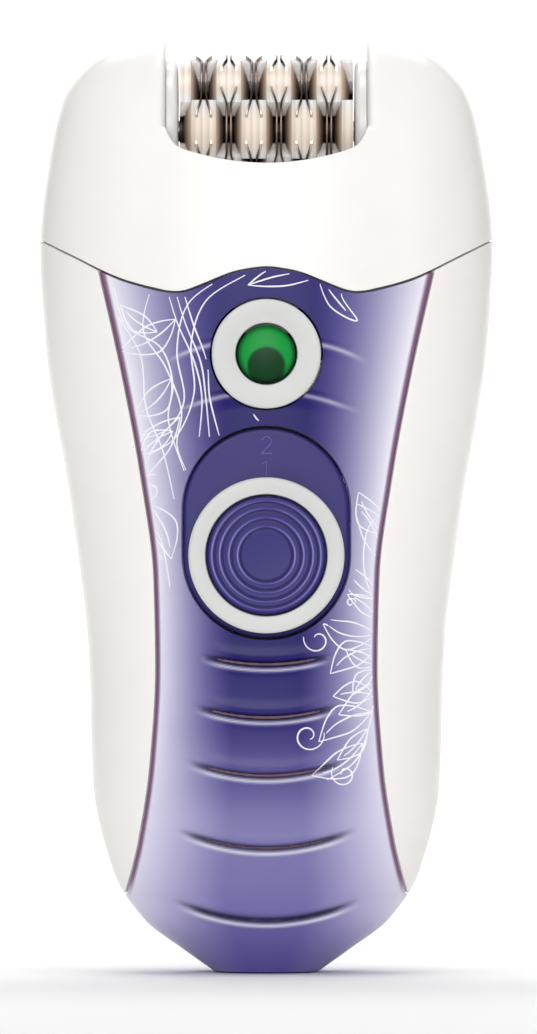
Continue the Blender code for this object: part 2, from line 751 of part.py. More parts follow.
def drive():
    """Motor, its pinion, the reduction gear and the drive shaft whose dog turns the head."""
    mesh_way = math.atan2(MOTOR_Y, MOTOR_X - SHAFT_X)
    centre = (MOTOR_X, MOTOR_Y, 0)
    low = MOTOR_TOP - MOTOR_LENGTH

    def flats(name, half):
        low_corner = (MOTOR_X - 2 * MOTOR_RADIUS, MOTOR_Y - half, 0)
        return box(name, None, low_corner, (MOTOR_X + 2 * MOTOR_RADIUS, MOTOR_Y + half, HEIGHT))

    can = rod("motor_can", BRIGHT, MOTOR_RADIUS, low, MOTOR_TOP, centre)
    hollow_top = MOTOR_TOP - CAN_WALL
    hollow = rod("can_hollow", None, MOTOR_RADIUS - CAN_WALL, low - MM, hollow_top, centre)
    keep(hollow, flats("hollow_flats", MOTOR_FLAT - CAN_WALL))
    keep(can, flats("can_flats", MOTOR_FLAT))
    cut(can, hollow, rod("can_shaft_hole", None, 1.3 * MM, low, MOTOR_TOP + MM, centre, steps=16))
    end_high = low - GAP
    end = rod("motor_end_cap", BLACK, MOTOR_RADIUS, end_high - 1.8 * MM, end_high, centre)
    keep(end, flats("end_flats", MOTOR_FLAT))
    shaft_top = GEAR_Z + GEAR_THICK + RUNNING
    shaft_low = low + GAP
    shaft_radius = 1.0 * MM
    rod("motor_shaft", BRIGHT, shaft_radius, shaft_low, shaft_top, centre, steps=12)
    bore = shaft_radius + RUNNING
    rotor_low = low + 4.0 * MM
    tube("motor_rotor", BRASS, 5.5 * MM, bore, rotor_low, rotor_low + 15.0 * MM, centre, steps=16)
    pinion_low = GEAR_Z - GAP
    spur_gear(
        "motor_pinion",
        BRASS,
        PINION_TEETH,
        mesh_way + math.pi,
        (MOTOR_X, MOTOR_Y),
        pinion_low,
        shaft_top - GAP,
        bore,
    )
    gap_at = mesh_way + math.pi / GEAR_TEETH
    gear_centre = (SHAFT_X, 0)
    bore = AXLE_RADIUS + RUNNING
    gear_top = GEAR_Z + GEAR_THICK
    spur_gear("reduction_gear", GEAR, GEAR_TEETH, gap_at, gear_centre, GEAR_Z, gear_top, bore)
    dog_low = NECK_Z + NECK_PLATE + 0.7 * MM
    dog_high = NECK_Z + 8.3 * MM
    drive_shaft = rod(
        "drive_shaft", BRIGHT, AXLE_RADIUS, GEAR_PLATE_Z - 0.8 * MM, dog_low + MM, (SHAFT_X, 0, 0), steps=16
    )
    join(drive_shaft, rod("dog", None, HEX_RADIUS, dog_low, dog_high, (SHAFT_X, 0, 0), steps=6))

    plate_top = GEAR_PLATE_Z + GEAR_PLATE
    plate = form("gear_plate", GREY, WALL + GAP, GEAR_PLATE_Z, plate_top)
    opening = box(
        "plate_opening",
        None,
        (-BUTTON_RADIUS - 3.0 * MM, -DEPTH, GEAR_PLATE_Z - MM),
        (BUTTON_RADIUS + 3.0 * MM, -3.8 * MM, plate_top + MM),
    )
    span = (GEAR_PLATE_Z - MM, plate_top + MM)
    motor_hole = rod("plate_motor_hole", None, 1.3 * MM, *span, centre, steps=16)
    shaft_hole = rod("plate_shaft_hole", None, bore, *span, (SHAFT_X, 0, 0), steps=16)
    cut(plate, opening, motor_hole, shaft_hole)


def neck():
    """Plate and collar that close the handle and carry the head."""
    outer = WALL + GAP
    plate = form("neck_plate", GREY, outer, NECK_Z, NECK_RIM)
    inner = form("neck_inner", None, outer + 1.2 * MM, NECK_Z + NECK_PLATE, NECK_RIM + 2 * MM)
    half = HOOK_WIDTH / 2 + 0.6 * MM
    slot = box(
        "hook_slot",
        None,
        (-half, HOOK_Y - HOOK_NOSE - 0.4 * MM, NECK_Z - MM),
        (half, HOOK_Y + HOOK_THICK + BUTTON_TRAVEL + 0.4 * MM, NECK_Z + 2 * NECK_PLATE),
    )
    span = (NECK_Z - MM, NECK_Z + 2 * NECK_PLATE)
    shaft_hole = rod("neck_hole", None, AXLE_RADIUS + RUNNING, *span, (SHAFT_X, 0, 0), steps=16)
    pressed_back = -BUTTON_FACE_Y - BUTTON_DEPTH - BUTTON_TRAVEL
    button_room = rod(
        "button_room",
        None,
        BUTTON_RADIUS + GAP,
        pressed_back - GAP,
        DEPTH,
        (0, 0, BUTTON_Z),
        BACK,
        28,
    )
    cut(plate, inner, slot, shaft_hole, button_room)


LIP_Z = HEIGHT - 17.5 * MM
TROUGH_INNER = DRUM_RADIUS + 0.6 * MM
TROUGH_OUTER = TROUGH_INNER + TROUGH_THICK
DRUM_AXIS = (0, 0, DRUM_Z)


def notch_cutter():
    """Opening for the drum: straight sides and a shallow curved lip."""
    count = 12
    xs = [NOTCH_HALF * (2 * k / count - 1) for k in range(count + 1)]
    lip = [(x, LIP_Z + 2.9 * MM * (x / NOTCH_HALF) ** 2) for x in xs]
    high = HEIGHT + 5 * MM
    return across("notch", None, lip + [(NOTCH_HALF, high), (-NOTCH_HALF, high)], -DEPTH, DEPTH)


def head_shell():
    """Head housing, drum cradle, base plate with the latch hanger, and the two head screws."""
    low = HEIGHT - 40 * MM
    housing = form("head_housing", PEARL, 0.0, low=low)
    hollow = form("head_hollow", None, HEAD_WALL, low=low - 5 * MM)
    saddle_half = NOTCH_HALF + NOTCH_WALL
    saddle_low = BASE_PLATE_Z + BASE_PLATE + 2.1 * MM
    saddle = box("saddle", None, (-saddle_half, -DEPTH, saddle_low), (saddle_half, DEPTH, HEIGHT + MM))
    cut(hollow, saddle)
    cavity = rod(
        "drum_cavity", None, TROUGH_OUTER + GAP, -NOTCH_HALF, NOTCH_HALF, DRUM_AXIS, ALONG_X, 40
    )
    bushing = 2.6 * MM
    reach = saddle_half + MM
    bearing = rod("bearing_hole", None, bushing + GAP, -reach, reach, DRUM_AXIS, ALONG_X, 16)
    above = seam_cutter("above_seam", GAP / 2, above=True)
    cut(housing, hollow, notch_cutter(), cavity, bearing)
    keep(housing, above)

    edge = LIP_Z - 0.2 * MM
    cheek_out = CHEEK_X + CHEEK_THICK
    cradle = rod("drum_cradle", GREY, TROUGH_OUTER, -cheek_out, cheek_out, DRUM_AXIS, ALONG_X, 36)
    lower = box("cradle_lower", None, (-WIDTH, -DEPTH, 0), (WIDTH, DEPTH, edge))
    cheeks = rod("cheek_discs", None, DRUM_RADIUS - 0.8 * MM, -cheek_out, cheek_out, DRUM_AXIS, ALONG_X, 36)
    room = rod("drum_room", None, TROUGH_INNER, -CHEEK_X, CHEEK_X, DRUM_AXIS, ALONG_X, 36)
    cut(join(keep(cradle, lower), cheeks), room, bearing)

    for side, name in ((-1, "left"), (1, "right")):
        ends = sorted((side * (CHEEK_X + EPS), side * saddle_half))
        bore = AXLE_RADIUS + RUNNING
        tube(f"axle_bushing_{name}", BRASS, bushing, bore, *ends, DRUM_AXIS, ALONG_X, 16)
        ends = sorted((side * CAM_X, side * (CAM_X + CAM_THICK)))
        first = math.radians(60)
        last = math.radians(180)
        steps = 8
        turns = [first + (last - first) * k / steps for k in range(steps + 1)]
        arc = [(8.0 * MM * math.cos(turn), 8.0 * MM * math.sin(turn)) for turn in turns]
        arc += [(5.2 * MM * math.cos(turn), 5.2 * MM * math.sin(turn)) for turn in reversed(turns)]
        sector = [(y, z + DRUM_Z) for y, z in arc]
        outline(f"closing_cam_{name}", BRIGHT, sector, *ends, ALONG_X)

    base = form("head_base_plate", GREY, HEAD_WALL + 1.5 * GAP, BASE_PLATE_Z, BASE_PLATE_Z + BASE_PLATE)
    half = HOOK_WIDTH / 2
    tip = HOOK_TOP - HOOK_TIP_HEIGHT
    hang_front = HOOK_Y - HOOK_NOSE - 0.2 * MM
    hang_rear = hang_front + 0.9 * MM
    hanger = box(
        "hanger",
        None,
        (-half - 1.8 * MM, hang_front, tip - 1.6 * MM),
        (half + 1.8 * MM, hang_rear, BASE_PLATE_Z + 0.5 * MM),
    )
    window = box(
        "hanger_window",
        None,
        (-half - 0.4 * MM, hang_front - MM, tip - GAP),
        (half + 0.4 * MM, hang_rear + MM, HOOK_TOP + 0.5 * MM),
    )
    span = (BASE_PLATE_Z - MM, BASE_PLATE_Z + 3 * MM)
    hole = rod("base_shaft_hole", None, AXLE_RADIUS + RUNNING, *span, (SHAFT_X, 0, 0), steps=16)
    cut(join(base, hanger), window, hole)
    screw_x = 9.0 * MM
    screw_y = half_depth(BASE_PLATE_Z) - 6.5 * MM
    for side, name in ((-1, "left"), (1, "right")):
        at = (side * screw_x, screw_y, 0)
        top = saddle_low + 3.6 * MM
        pilot = rod(f"head_pilot_{name}", None, SCREW_SHANK + EPS, BASE_PLATE_Z - MM, top, at, steps=12)
        cut(housing, pilot)
        cut(base, pilot)
        head = BASE_PLATE_Z - GAP
        profile = [
            (0, top - GAP),
            (SCREW_SHANK - EPS, top - GAP),
            (SCREW_SHANK - EPS, head),
            (1.6 * MM, head),
            (1.6 * MM, head - 1.2 * MM),
            (0, head - 1.2 * MM),
        ]
        turned(f"head_screw_{name}", BRIGHT, profile, at, steps=12)


def input_drive():
    """Input shaft with its socket, and the pinion that turns the crown gear."""
    pinion_low = DRUM_Z - CROWN_RADIUS - CROWN_FACE / 2
    pinion_high = DRUM_Z - CROWN_RADIUS + CROWN_FACE / 2
    thin = 1.0 * MM
    socket_top = BASE_PLATE_Z - GAP
    socket_low = NECK_Z + NECK_PLATE + 1.6 * MM
    profile = [
        (0, pinion_high),
        (thin, pinion_high),
        (thin, pinion_low - GAP),
        (AXLE_RADIUS, pinion_low - GAP),
        (AXLE_RADIUS, socket_top),
        (3.3 * MM, socket_top),
        (3.3 * MM, socket_low),
        (0, socket_low),
    ]
    centre = (SHAFT_X, 0, 0)
    shaft = turned("input_shaft", GEAR, profile, centre, steps=16)
    room = rod("socket_room", None, HEX_RADIUS + GAP, socket_low - MM, NECK_Z + 8.9 * MM, centre, steps=6)
    cut(shaft, room)
    spur_gear(
        "input_pinion",
        BRASS,
        PINION_TEETH,
        math.pi,
        (SHAFT_X, 0),
        pinion_low,
        pinion_high,
        thin + RUNNING,
    )


def crown_gear():
    """Disc with teeth on its face, towards +X; a gap between teeth points down."""
    pitch = 2 * math.pi / CROWN_TEETH
    root_x = CROWN_X + CROWN_DISC
    inner = CROWN_RADIUS - CROWN_FACE / 2
    outer = CROWN_RADIUS + CROWN_FACE / 2
    bore = AXLE_RADIUS + RUNNING
    bm = bmesh.new()
    rings = []
    for k in range(CROWN_TEETH):
        middle = -math.pi / 2 + (k + 0.5) * pitch
        for share, x in ((-0.27, root_x), (-0.11, CROWN_TIP_X), (0.11, CROWN_TIP_X), (0.27, root_x)):
            turn = middle + share * pitch
            section = ((bore, CROWN_X), (bore, root_x), (inner, x), (outer, x), (outer, CROWN_X))
            ring = []
            for r, x_at in section:
                place_at = (x_at, r * math.cos(turn), DRUM_Z + r * math.sin(turn))
                ring.append(bm.verts.new(place_at))
            rings.append(ring)
    for k, ring in enumerate(rings):
        following = rings[(k + 1) % len(rings)]
        for j in range(len(ring)):
            after = (j + 1) % len(ring)
            bm.faces.new((ring[j], ring[after], following[after], following[j]))
    return place(from_bmesh(bm), "crown_gear", GEAR, DRUM_AXIS)


def star(name, finish, x, radius, width, thick, hub, first_turn):
    """A hub with arms, cut from one flat outline across the drum axis."""
    step = 2 * math.pi / ARMS
    root = math.asin(width / 2 / hub)
    tip = math.asin(0.42 * width / radius)
    points = []
    for k in range(ARMS):
        middle = first_turn + k * step
        corners = ((-root, hub), (-tip, radius), (tip, radius), (root, hub), (step / 2, hub))
        for turn, r in corners:
            angle = middle + turn
            points.append((r * math.cos(angle), DRUM_Z + r * math.sin(angle)))
    return outline(name, finish, points, x - thick / 2, x + thick / 2, ALONG_X, DRUM_AXIS)


def drum():
    """Axle, one barrel segment for each column, and a slotted tweezer plate in each inner column."""
    step = 2 * math.pi / ARMS
    bore = AXLE_RADIUS + RUNNING
    left = -(NOTCH_HALF + NOTCH_WALL + MM)
    rod("drum_axle", BRIGHT, AXLE_RADIUS, left, CROWN_TIP_X, DRUM_AXIS, ALONG_X, 16)
    radial, along, around = BARREL_HALF
    barrel_centre = DRUM_RADIUS - 0.2 * MM - radial
    for k in range(COLUMNS):
        x = (k - (COLUMNS - 1) / 2) * COLUMN_PITCH
        own_turn = 0.0 if k % 2 else step / 2
        low = max(x - COLUMN_PITCH / 2 + GAP / 2, -DRUM_HALF)
        high = min(x + COLUMN_PITCH / 2 - GAP / 2, DRUM_HALF)
        segment = rod(f"drum_segment_{k + 1}", BARREL, HUB_RADIUS, low, high, DRUM_AXIS, ALONG_X, 14)
        for j in range(ARMS):
            bm = bmesh.new()
            bmesh.ops.create_uvsphere(bm, u_segments=7, v_segments=5, radius=1)
            bm.transform(Matrix.Rotation(math.pi / 2, 4, "Y"))
            bm.transform(Matrix.Diagonal((along, radial, around, 1)))
            bm.transform(Matrix.Translation((x, -barrel_centre, 0)))
            bm.transform(Matrix.Rotation(-own_turn - j * step, 4, "X"))
            bm.transform(Matrix.Translation(DRUM_AXIS))
            join(segment, place(from_bmesh(bm), f"barrel_{k}_{j}", None))
        edge = DRUM_HALF
        reach = 2 * DRUM_RADIUS
        if k in (0, COLUMNS - 1):
            span = box(
                f"drum_span_{k}", None, (-edge, -reach, 0), (edge, reach, HEIGHT + reach)
            )
            keep(segment, span)
        cut(segment, rod(f"segment_bore_{k}", None, bore, low - MM, high + MM, DRUM_AXIS, ALONG_X, 12))
        if k in (0, COLUMNS - 1):
            continue
        turn = own_turn + step / 2
        grow = 2 * GAP
        room = star(
            f"star_room_{k}",
            None,
            x,
            2 * TWEEZER_RADIUS,
            TWEEZER_WIDTH + grow,
            TWEEZER_THICK + grow,
            TWEEZER_HUB + GAP,
            turn,
        )
        cut(segment, room)
        plates = star(
            f"tweezer_plates_{k}",
            STEEL,
            x,
            TWEEZER_RADIUS,
            TWEEZER_WIDTH,
            TWEEZER_THICK,
            TWEEZER_HUB,
            turn,
        )
        hole = rod(f"star_bore_{k}", None, bore, x - MM, x + MM, DRUM_AXIS, ALONG_X, 12)
        slot_half = TWEEZER_SLOT / 2
        slot = tube(
            f"star_slot_{k}",
            None,
            2 * TWEEZER_RADIUS,
            TWEEZER_HUB + 1.4 * MM,
            x - slot_half,
            x + slot_half,
            DRUM_AXIS,
            ALONG_X,
            9,
        )
        cut(plates, hole, slot)


housings()
switch_knob()
release_button()
electrics()
drive()
neck()
head_shell()
input_drive()
crown_gear()
drum()
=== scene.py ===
import json
import math

import bmesh
import bpy
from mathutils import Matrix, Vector


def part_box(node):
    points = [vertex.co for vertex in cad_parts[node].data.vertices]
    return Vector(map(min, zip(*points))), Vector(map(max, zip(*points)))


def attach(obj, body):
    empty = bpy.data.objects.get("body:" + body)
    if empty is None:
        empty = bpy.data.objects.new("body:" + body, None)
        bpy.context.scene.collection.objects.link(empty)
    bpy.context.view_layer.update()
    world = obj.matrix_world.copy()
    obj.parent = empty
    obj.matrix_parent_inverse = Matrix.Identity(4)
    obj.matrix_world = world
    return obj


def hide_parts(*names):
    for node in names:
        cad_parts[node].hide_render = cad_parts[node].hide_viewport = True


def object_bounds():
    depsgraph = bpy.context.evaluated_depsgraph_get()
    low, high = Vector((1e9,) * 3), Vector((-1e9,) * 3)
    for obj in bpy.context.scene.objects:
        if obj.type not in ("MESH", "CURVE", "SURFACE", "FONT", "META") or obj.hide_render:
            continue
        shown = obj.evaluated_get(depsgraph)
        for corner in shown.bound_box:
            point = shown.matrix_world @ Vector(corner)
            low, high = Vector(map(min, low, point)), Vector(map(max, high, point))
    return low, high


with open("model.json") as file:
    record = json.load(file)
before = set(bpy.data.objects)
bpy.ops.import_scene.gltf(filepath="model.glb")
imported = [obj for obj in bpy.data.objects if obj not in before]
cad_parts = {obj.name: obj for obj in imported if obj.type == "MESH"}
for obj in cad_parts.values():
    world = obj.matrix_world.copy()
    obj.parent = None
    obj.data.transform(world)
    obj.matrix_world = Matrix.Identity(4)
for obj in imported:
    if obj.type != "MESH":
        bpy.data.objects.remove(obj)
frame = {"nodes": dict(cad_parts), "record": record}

for startup in ("Cube", "Light", "Camera"):
    if startup in bpy.data.objects:
        bpy.data.objects.remove(bpy.data.objects[startup])
CAD_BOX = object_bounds()
MM = 0.001
HEIGHT = CAD_BOX[1][2] - CAD_BOX[0][2]

# The outer form, as in the CAD: shares of height, half width and half depth.
WIDTH = 64.6 * MM
DEPTH = 36.4 * MM
ROUNDNESS = 2.4
FORM = (
    (0.000, 0.232, 0.460),
    (0.023, 0.365, 0.585),
    (0.055, 0.536, 0.735),
    (0.106, 0.672, 0.850),
    (0.205, 0.765, 0.930),
    (0.341, 0.785, 0.952),
    (0.508, 0.867, 0.984),
    (0.667, 0.972, 1.000),
    (0.786, 1.000, 0.990),
    (0.871, 0.960, 0.912),
    (0.939, 0.895, 0.780),
    (0.980, 0.765, 0.637),
    (1.000, 0.604, 0.467),
)
# The seam under the head: share of half width, drop below the top.
SEAM = (
    (0.000, 32.2 * MM),
    (0.139, 32.9 * MM),
    (0.269, 34.6 * MM),
    (0.387, 35.8 * MM),
    (0.600, 34.4 * MM),
    (0.867, 30.4 * MM),
    (1.000, 28.2 * MM),
)
# The panel's side edge: share of height, share of half width.
PANEL_EDGE = (
    (0.082, 0.615),
    (0.142, 0.554),
    (0.227, 0.502),
    (0.326, 0.478),
    (0.424, 0.486),
    (0.530, 0.542),
    (0.636, 0.622),
    (0.780, 0.755),
)
BOOT_TOP = 10.8 * MM
GAP = 0.3 * MM
SKIN = 1.2 * MM
INLET = 2.4 * MM
SCREW_ROOM = 2.55 * MM


def slopes_of(points):
    xs = [point[0] for point in points]
    ys = [point[1] for point in points]
    slopes = [(ys[i + 1] - ys[i]) / (xs[i + 1] - xs[i]) for i in range(len(xs) - 1)]
    tangents = [slopes[0]]
    for before, after in zip(slopes, slopes[1:]):
        same_way = before * after > 0
        tangents.append(2 * before * after / (before + after) if same_way else 0.0)
    tangents.append(slopes[-1])
    return xs, ys, tangents


def curve_through(points):
    """A function whose curve passes through the points and never overshoots them."""
    xs, ys, tangents = slopes_of(points)

    def value(at):
        at = min(max(at, xs[0]), xs[-1])
        i = max(k for k in range(len(xs) - 1) if xs[k] <= at)
        span = xs[i + 1] - xs[i]
        t = (at - xs[i]) / span
        return (
            (2 * t**3 - 3 * t**2 + 1) * ys[i]
            + (t**3 - 2 * t**2 + t) * span * tangents[i]
            + (3 * t**2 - 2 * t**3) * ys[i + 1]
            + (t**3 - t**2) * span * tangents[i + 1]
        )

    return value


WIDTH_SHARE = curve_through([(p[0], p[1]) for p in FORM])
DEPTH_SHARE = curve_through([(p[0], p[2]) for p in FORM])
SEAM_DROP = curve_through(SEAM)
EDGE_SHARE = curve_through(PANEL_EDGE)


def half_width(z):
    return WIDTH_SHARE(z / HEIGHT) * WIDTH / 2


def half_depth(z):
    return DEPTH_SHARE(z / HEIGHT) * DEPTH / 2


def seam_z(x):
    return HEIGHT - SEAM_DROP(abs(x) / (WIDTH / 2))


def panel_half(z):
    """Half width of the front panel; below the boot's top it keeps its share of the form."""
    if z >= BOOT_TOP:
        return EDGE_SHARE(z / HEIGHT) * WIDTH / 2
    return half_width(z) * EDGE_SHARE(0) * WIDTH / 2 / half_width(BOOT_TOP)


def on_form(turn, z, inset=0.0):
    """Point of the outer form: turn 0 is +X, a quarter turn is the front, three quarters the back."""
    level = (z - inset) / (HEIGHT - 2 * inset) * HEIGHT
    a = half_width(level) - inset
    b = half_depth(level) - inset
    c = math.cos(turn)
    s = math.sin(turn)
    x = math.copysign(abs(c) ** (2 / ROUNDNESS), c) * a
    y = -math.copysign(abs(s) ** (2 / ROUNDNESS), s) * b
    return Vector((x, y, z))


def turn_at_x(x, z, inset=0.0):
    """Turn of the front surface at a width."""
    level = (z - inset) / (HEIGHT - 2 * inset) * HEIGHT
    a = half_width(level) - inset
    share = min(1.0, abs(x) / a)
    quarter = math.acos(share ** (ROUNDNESS / 2))
    return quarter if x >= 0 else math.pi - quarter


def turn_at_gap(z):
    """Turn at which the surface comes within half a gap of the parting plane."""
    return math.asin((GAP / 2 / half_depth(z)) ** (ROUNDNESS / 2))


def smoothstep(low, high, value):
    t = min(1.0, max(0.0, (value - low) / (high - low)))
    return t * t * (3 - 2 * t)


# ---- materials


def srgb(red, green, blue):
    """A display colour, 0 to 255, as the linear colour that a shader takes."""
    linear = []
    for part in (red, green, blue):
        part /= 255
        linear.append(part / 12.92 if part <= 0.04045 else ((part + 0.055) / 1.055) ** 2.4)
    return (*linear, 1.0)


def finish_of(
    name,
    colour,
    roughness=0.3,
    metallic=0.0,
    second=None,
    grain=900.0,
    bump=0.02,
    coat=0.0,
    spread=0.06,
    paint=None,
    stretch=(1, 1, 1),
    sheen=0.5,
):
    """A plastic or metal: two close colours mixed by noise, uneven gloss and a fine surface grain."""
    made = bpy.data.materials.new(name)
    made.use_nodes = True
    nodes = made.node_tree.nodes
    links = made.node_tree.links
    shader = nodes["Principled BSDF"]
    shader.inputs["Metallic"].default_value = metallic
    shader.inputs["Coat Weight"].default_value = coat
    shader.inputs["Specular IOR Level"].default_value = sheen
    shader.inputs["Coat Roughness"].default_value = 0.08
    place = nodes.new("ShaderNodeTexCoord")
    mapping = nodes.new("ShaderNodeMapping")
    mapping.inputs["Scale"].default_value = stretch
    links.new(place.outputs["Object"], mapping.inputs["Vector"])
    broad = nodes.new("ShaderNodeTexNoise")
    broad.inputs["Scale"].default_value = grain / 9
    broad.inputs["Detail"].default_value = 3
    fine = nodes.new("ShaderNodeTexNoise")
    fine.inputs["Scale"].default_value = grain
    fine.inputs["Detail"].default_value = 4
    links.new(mapping.outputs["Vector"], broad.inputs["Vector"])
    links.new(mapping.outputs["Vector"], fine.inputs["Vector"])
    mix = nodes.new("ShaderNodeMix")
    mix.data_type = "RGBA"
    mix.inputs["A"].default_value = colour
    mix.inputs["B"].default_value = second or tuple(0.9 * part for part in colour[:3]) + (1.0,)
    links.new(broad.outputs["Fac"], mix.inputs["Factor"])
    shade = mix.outputs["Result"]
    if paint:
        painted = nodes.new("ShaderNodeAttribute")
        painted.attribute_name = paint
        over = nodes.new("ShaderNodeMix")
        over.data_type = "RGBA"
        over.blend_type = "MULTIPLY"
        over.inputs["Factor"].default_value = 1.0
        links.new(shade, over.inputs["A"])
        links.new(painted.outputs["Color"], over.inputs["B"])
        shade = over.outputs["Result"]
    links.new(shade, shader.inputs["Base Color"])
    gloss = nodes.new("ShaderNodeMapRange")
    gloss.inputs["To Min"].default_value = max(0.02, roughness - spread)
    gloss.inputs["To Max"].default_value = roughness + spread
    links.new(broad.outputs["Fac"], gloss.inputs["Value"])
    links.new(gloss.outputs["Result"], shader.inputs["Roughness"])
    relief = nodes.new("ShaderNodeBump")
    relief.inputs["Strength"].default_value = bump
    relief.inputs["Distance"].default_value = 0.0001
    links.new(fine.outputs["Fac"], relief.inputs["Height"])
    links.new(relief.outputs["Normal"], shader.inputs["Normal"])
    return made


WHITE = (1.0, 1.0, 1.0, 1.0)
PEARL = finish_of(
    "pearl_white",
    srgb(245, 243, 240),
    0.3,
    second=srgb(242, 239, 235),
    bump=0.01,
    spread=0.01,
    grain=2600,
    sheen=0.4,
)
PANEL = finish_of(
    "violet_print",
    WHITE,
    0.3,
    second=(0.95, 0.95, 0.96, 1),
    grain=1400,
    bump=0.015,
    spread=0.02,
    paint="tint",
    sheen=0.16,
)
VIOLET = finish_of("violet_plastic", srgb(52, 45, 122), 0.3, second=srgb(46, 39, 112), sheen=0.2)
CAP = finish_of("violet_cap", WHITE, 0.32, second=(0.95, 0.95, 0.96, 1), bump=0.02, paint="tint", sheen=0.2)
# Dark mauve for the web behind the gaps: painted shade in the gaps.
GAP_SHADE = finish_of("painted_gap_shade", srgb(112, 78, 88), 0.5, second=srgb(92, 60, 76))
SILVER = finish_of("silver_coat", srgb(212, 213, 211), 0.38, second=srgb(205, 206, 204), sheen=0.3)
GREY = finish_of("grey_plastic", srgb(214, 212, 210), 0.35, second=srgb(202, 200, 199))
BARREL_FINISH = finish_of(
    "barrel_ceramic", WHITE, 0.3, second=(0.94, 0.93, 0.92, 1), paint="tint", sheen=0.25
)
CHEEK = finish_of("cheek_grey", srgb(232, 229, 228), 0.35, second=srgb(226, 223, 222), coat=0.1)
BLADE = finish_of(
    "blade_steel", WHITE, 0.28, metallic=0.85, grain=2500, second=(0.8, 0.78, 0.76, 1), paint="tint"
)
STEEL = finish_of("bright_steel", (0.62, 0.62, 0.63, 1), 0.25, metallic=1.0, stretch=(1, 1, 12), bump=0.05)
BLACK = finish_of("black_plastic", srgb(30, 30, 32), 0.45, second=srgb(22, 22, 24), bump=0.06)
ACETAL = finish_of("acetal", srgb(232, 228, 214), 0.42, second=srgb(222, 216, 200))
BRASS = finish_of("brass", (0.72, 0.50, 0.20, 1), 0.28, metallic=1.0, second=(0.62, 0.42, 0.16, 1))
BOARD = finish_of("circuit_board", srgb(24, 104, 60), 0.4, second=srgb(18, 84, 48), grain=1600, bump=0.1)
CELL = finish_of("cell_sleeve", srgb(60, 110, 170), 0.35, second=srgb(52, 98, 156))
PRINT = finish_of("print_white", srgb(250, 250, 255), 0.4, second=srgb(240, 240, 250))
NUMERAL = finish_of("numeral", srgb(104, 96, 170), 0.35, second=srgb(96, 88, 160))
LENS = finish_of("green_lens", WHITE, 0.35, second=(0.92, 0.95, 0.92, 1), bump=0.01, paint="tint", sheen=0.15)

# ---- mesh helpers


def add_object(name, mesh, finish, angle=35):
    made = bpy.data.objects.new(name, mesh)
    bpy.context.scene.collection.objects.link(made)
    mesh.materials.clear()
    mesh.materials.append(finish)
    mesh.shade_smooth()
    if angle:
        mesh.set_sharp_from_angle(angle=math.radians(angle))
    return made


def object_from(bm, name, finish, angle=35, recalc=True):
    if recalc:
        bmesh.ops.recalc_face_normals(bm, faces=bm.faces)
    mesh = bpy.data.meshes.new(name)
    bm.to_mesh(mesh)
    bm.free()
    return add_object(name, mesh, finish, angle)


def grid_into(bm, rows):
    """Quads between rows of points; each row has as many points as the next."""
    made = [[bm.verts.new(point) for point in row] for row in rows]
    for low, high in zip(made, made[1:]):
        for k in range(len(low) - 1):
            bm.faces.new((low[k], low[k + 1], high[k + 1], high[k]))
    return made


def thicken(made, thickness, round_edge, keep_sharp=None):
    """Gives an open surface its wall, inwards, and rounds the wall's rim, but not round a hole."""
    solid = made.modifiers.new("wall", "SOLIDIFY")
    solid.thickness = thickness
    solid.offset = -1
    apply_modifiers(made)
    bm = bmesh.new()
    bm.from_mesh(made.data)
    weights = bm.edges.layers.float.new("bevel_weight_edge")
    for edge in bm.edges:
        if edge.is_manifold and edge.calc_face_angle() > math.radians(55):
            middle = (edge.verts[0].co + edge.verts[1].co) / 2
            edge[weights] = 0.0 if keep_sharp and keep_sharp(middle) else 1.0
    bm.to_mesh(made.data)
    bm.free()
    bevel = made.modifiers.new("rim", "BEVEL")
    bevel.width = round_edge
    bevel.segments = 3
    bevel.limit_method = "WEIGHT"
    return apply_modifiers(made, 40)


def apply_modifiers(made, angle=35):
    graph = bpy.context.evaluated_depsgraph_get()
    mesh = bpy.data.meshes.new_from_object(made.evaluated_get(graph))
    made.modifiers.clear()
    old = made.data
    made.data = mesh
    bpy.data.meshes.remove(old)
    mesh.shade_smooth()
    if angle:
        mesh.set_sharp_from_angle(angle=math.radians(angle))
    return made


def open_hole(bm, distance, surface, front=True):
    """Takes away the faces inside a hole and draws the vertices left inside out to its edge."""
    inside = {}
    for vertex in bm.verts:
        if (vertex.co.y < 0) == front:
            inside[vertex] = distance(vertex.co.x, vertex.co.z)
    doomed = [face for face in bm.faces if all(inside.get(v, 1) < 0 for v in face.verts)]
    bmesh.ops.delete(bm, geom=doomed, context="FACES")
    step = 0.01 * MM
    for vertex in bm.verts:
        off = inside.get(vertex, 1)
        if off < 0:
            x, _, z = vertex.co
            way = Vector((distance(x + step, z) - off, distance(x, z + step) - off)) / step
            way = way.normalized() * -off
            vertex.co = surface(x + way.x, z + way.y)


def arc_points(radius, centre, first, last, steps):
    """Points (across, up) on an arc."""
    turns = [first + (last - first) * k / steps for k in range(steps + 1)]
    return [(centre[0] + radius * math.cos(t), centre[1] + radius * math.sin(t)) for t in turns]


def lathe(name, finish, profile, centre, axis="Y", steps=96, angle=30):
    """A turned piece; the profile is (radius, height), with height towards the front for axis Y."""
    bm = bmesh.new()
    rings = []
    for k in range(steps):
        turn = 2 * math.pi * k / steps
        ring = []
        for r, h in profile:
            if axis == "Y":
                point = (r * math.cos(turn), -h, r * math.sin(turn))
            elif axis == "X":
                point = (h, r * math.cos(turn), r * math.sin(turn))
            else:
                point = (r * math.cos(turn), r * math.sin(turn), h)
            ring.append(bm.verts.new(Vector(point) + Vector(centre)))
        rings.append(ring)
    for k in range(steps):
        here = rings[k]
        following = rings[(k + 1) % steps]
        for j in range(len(profile) - 1):
            bm.faces.new((here[j], here[j + 1], following[j + 1], following[j]))
    bmesh.ops.remove_doubles(bm, verts=bm.verts, dist=1e-7)
    return object_from(bm, name, finish, angle)


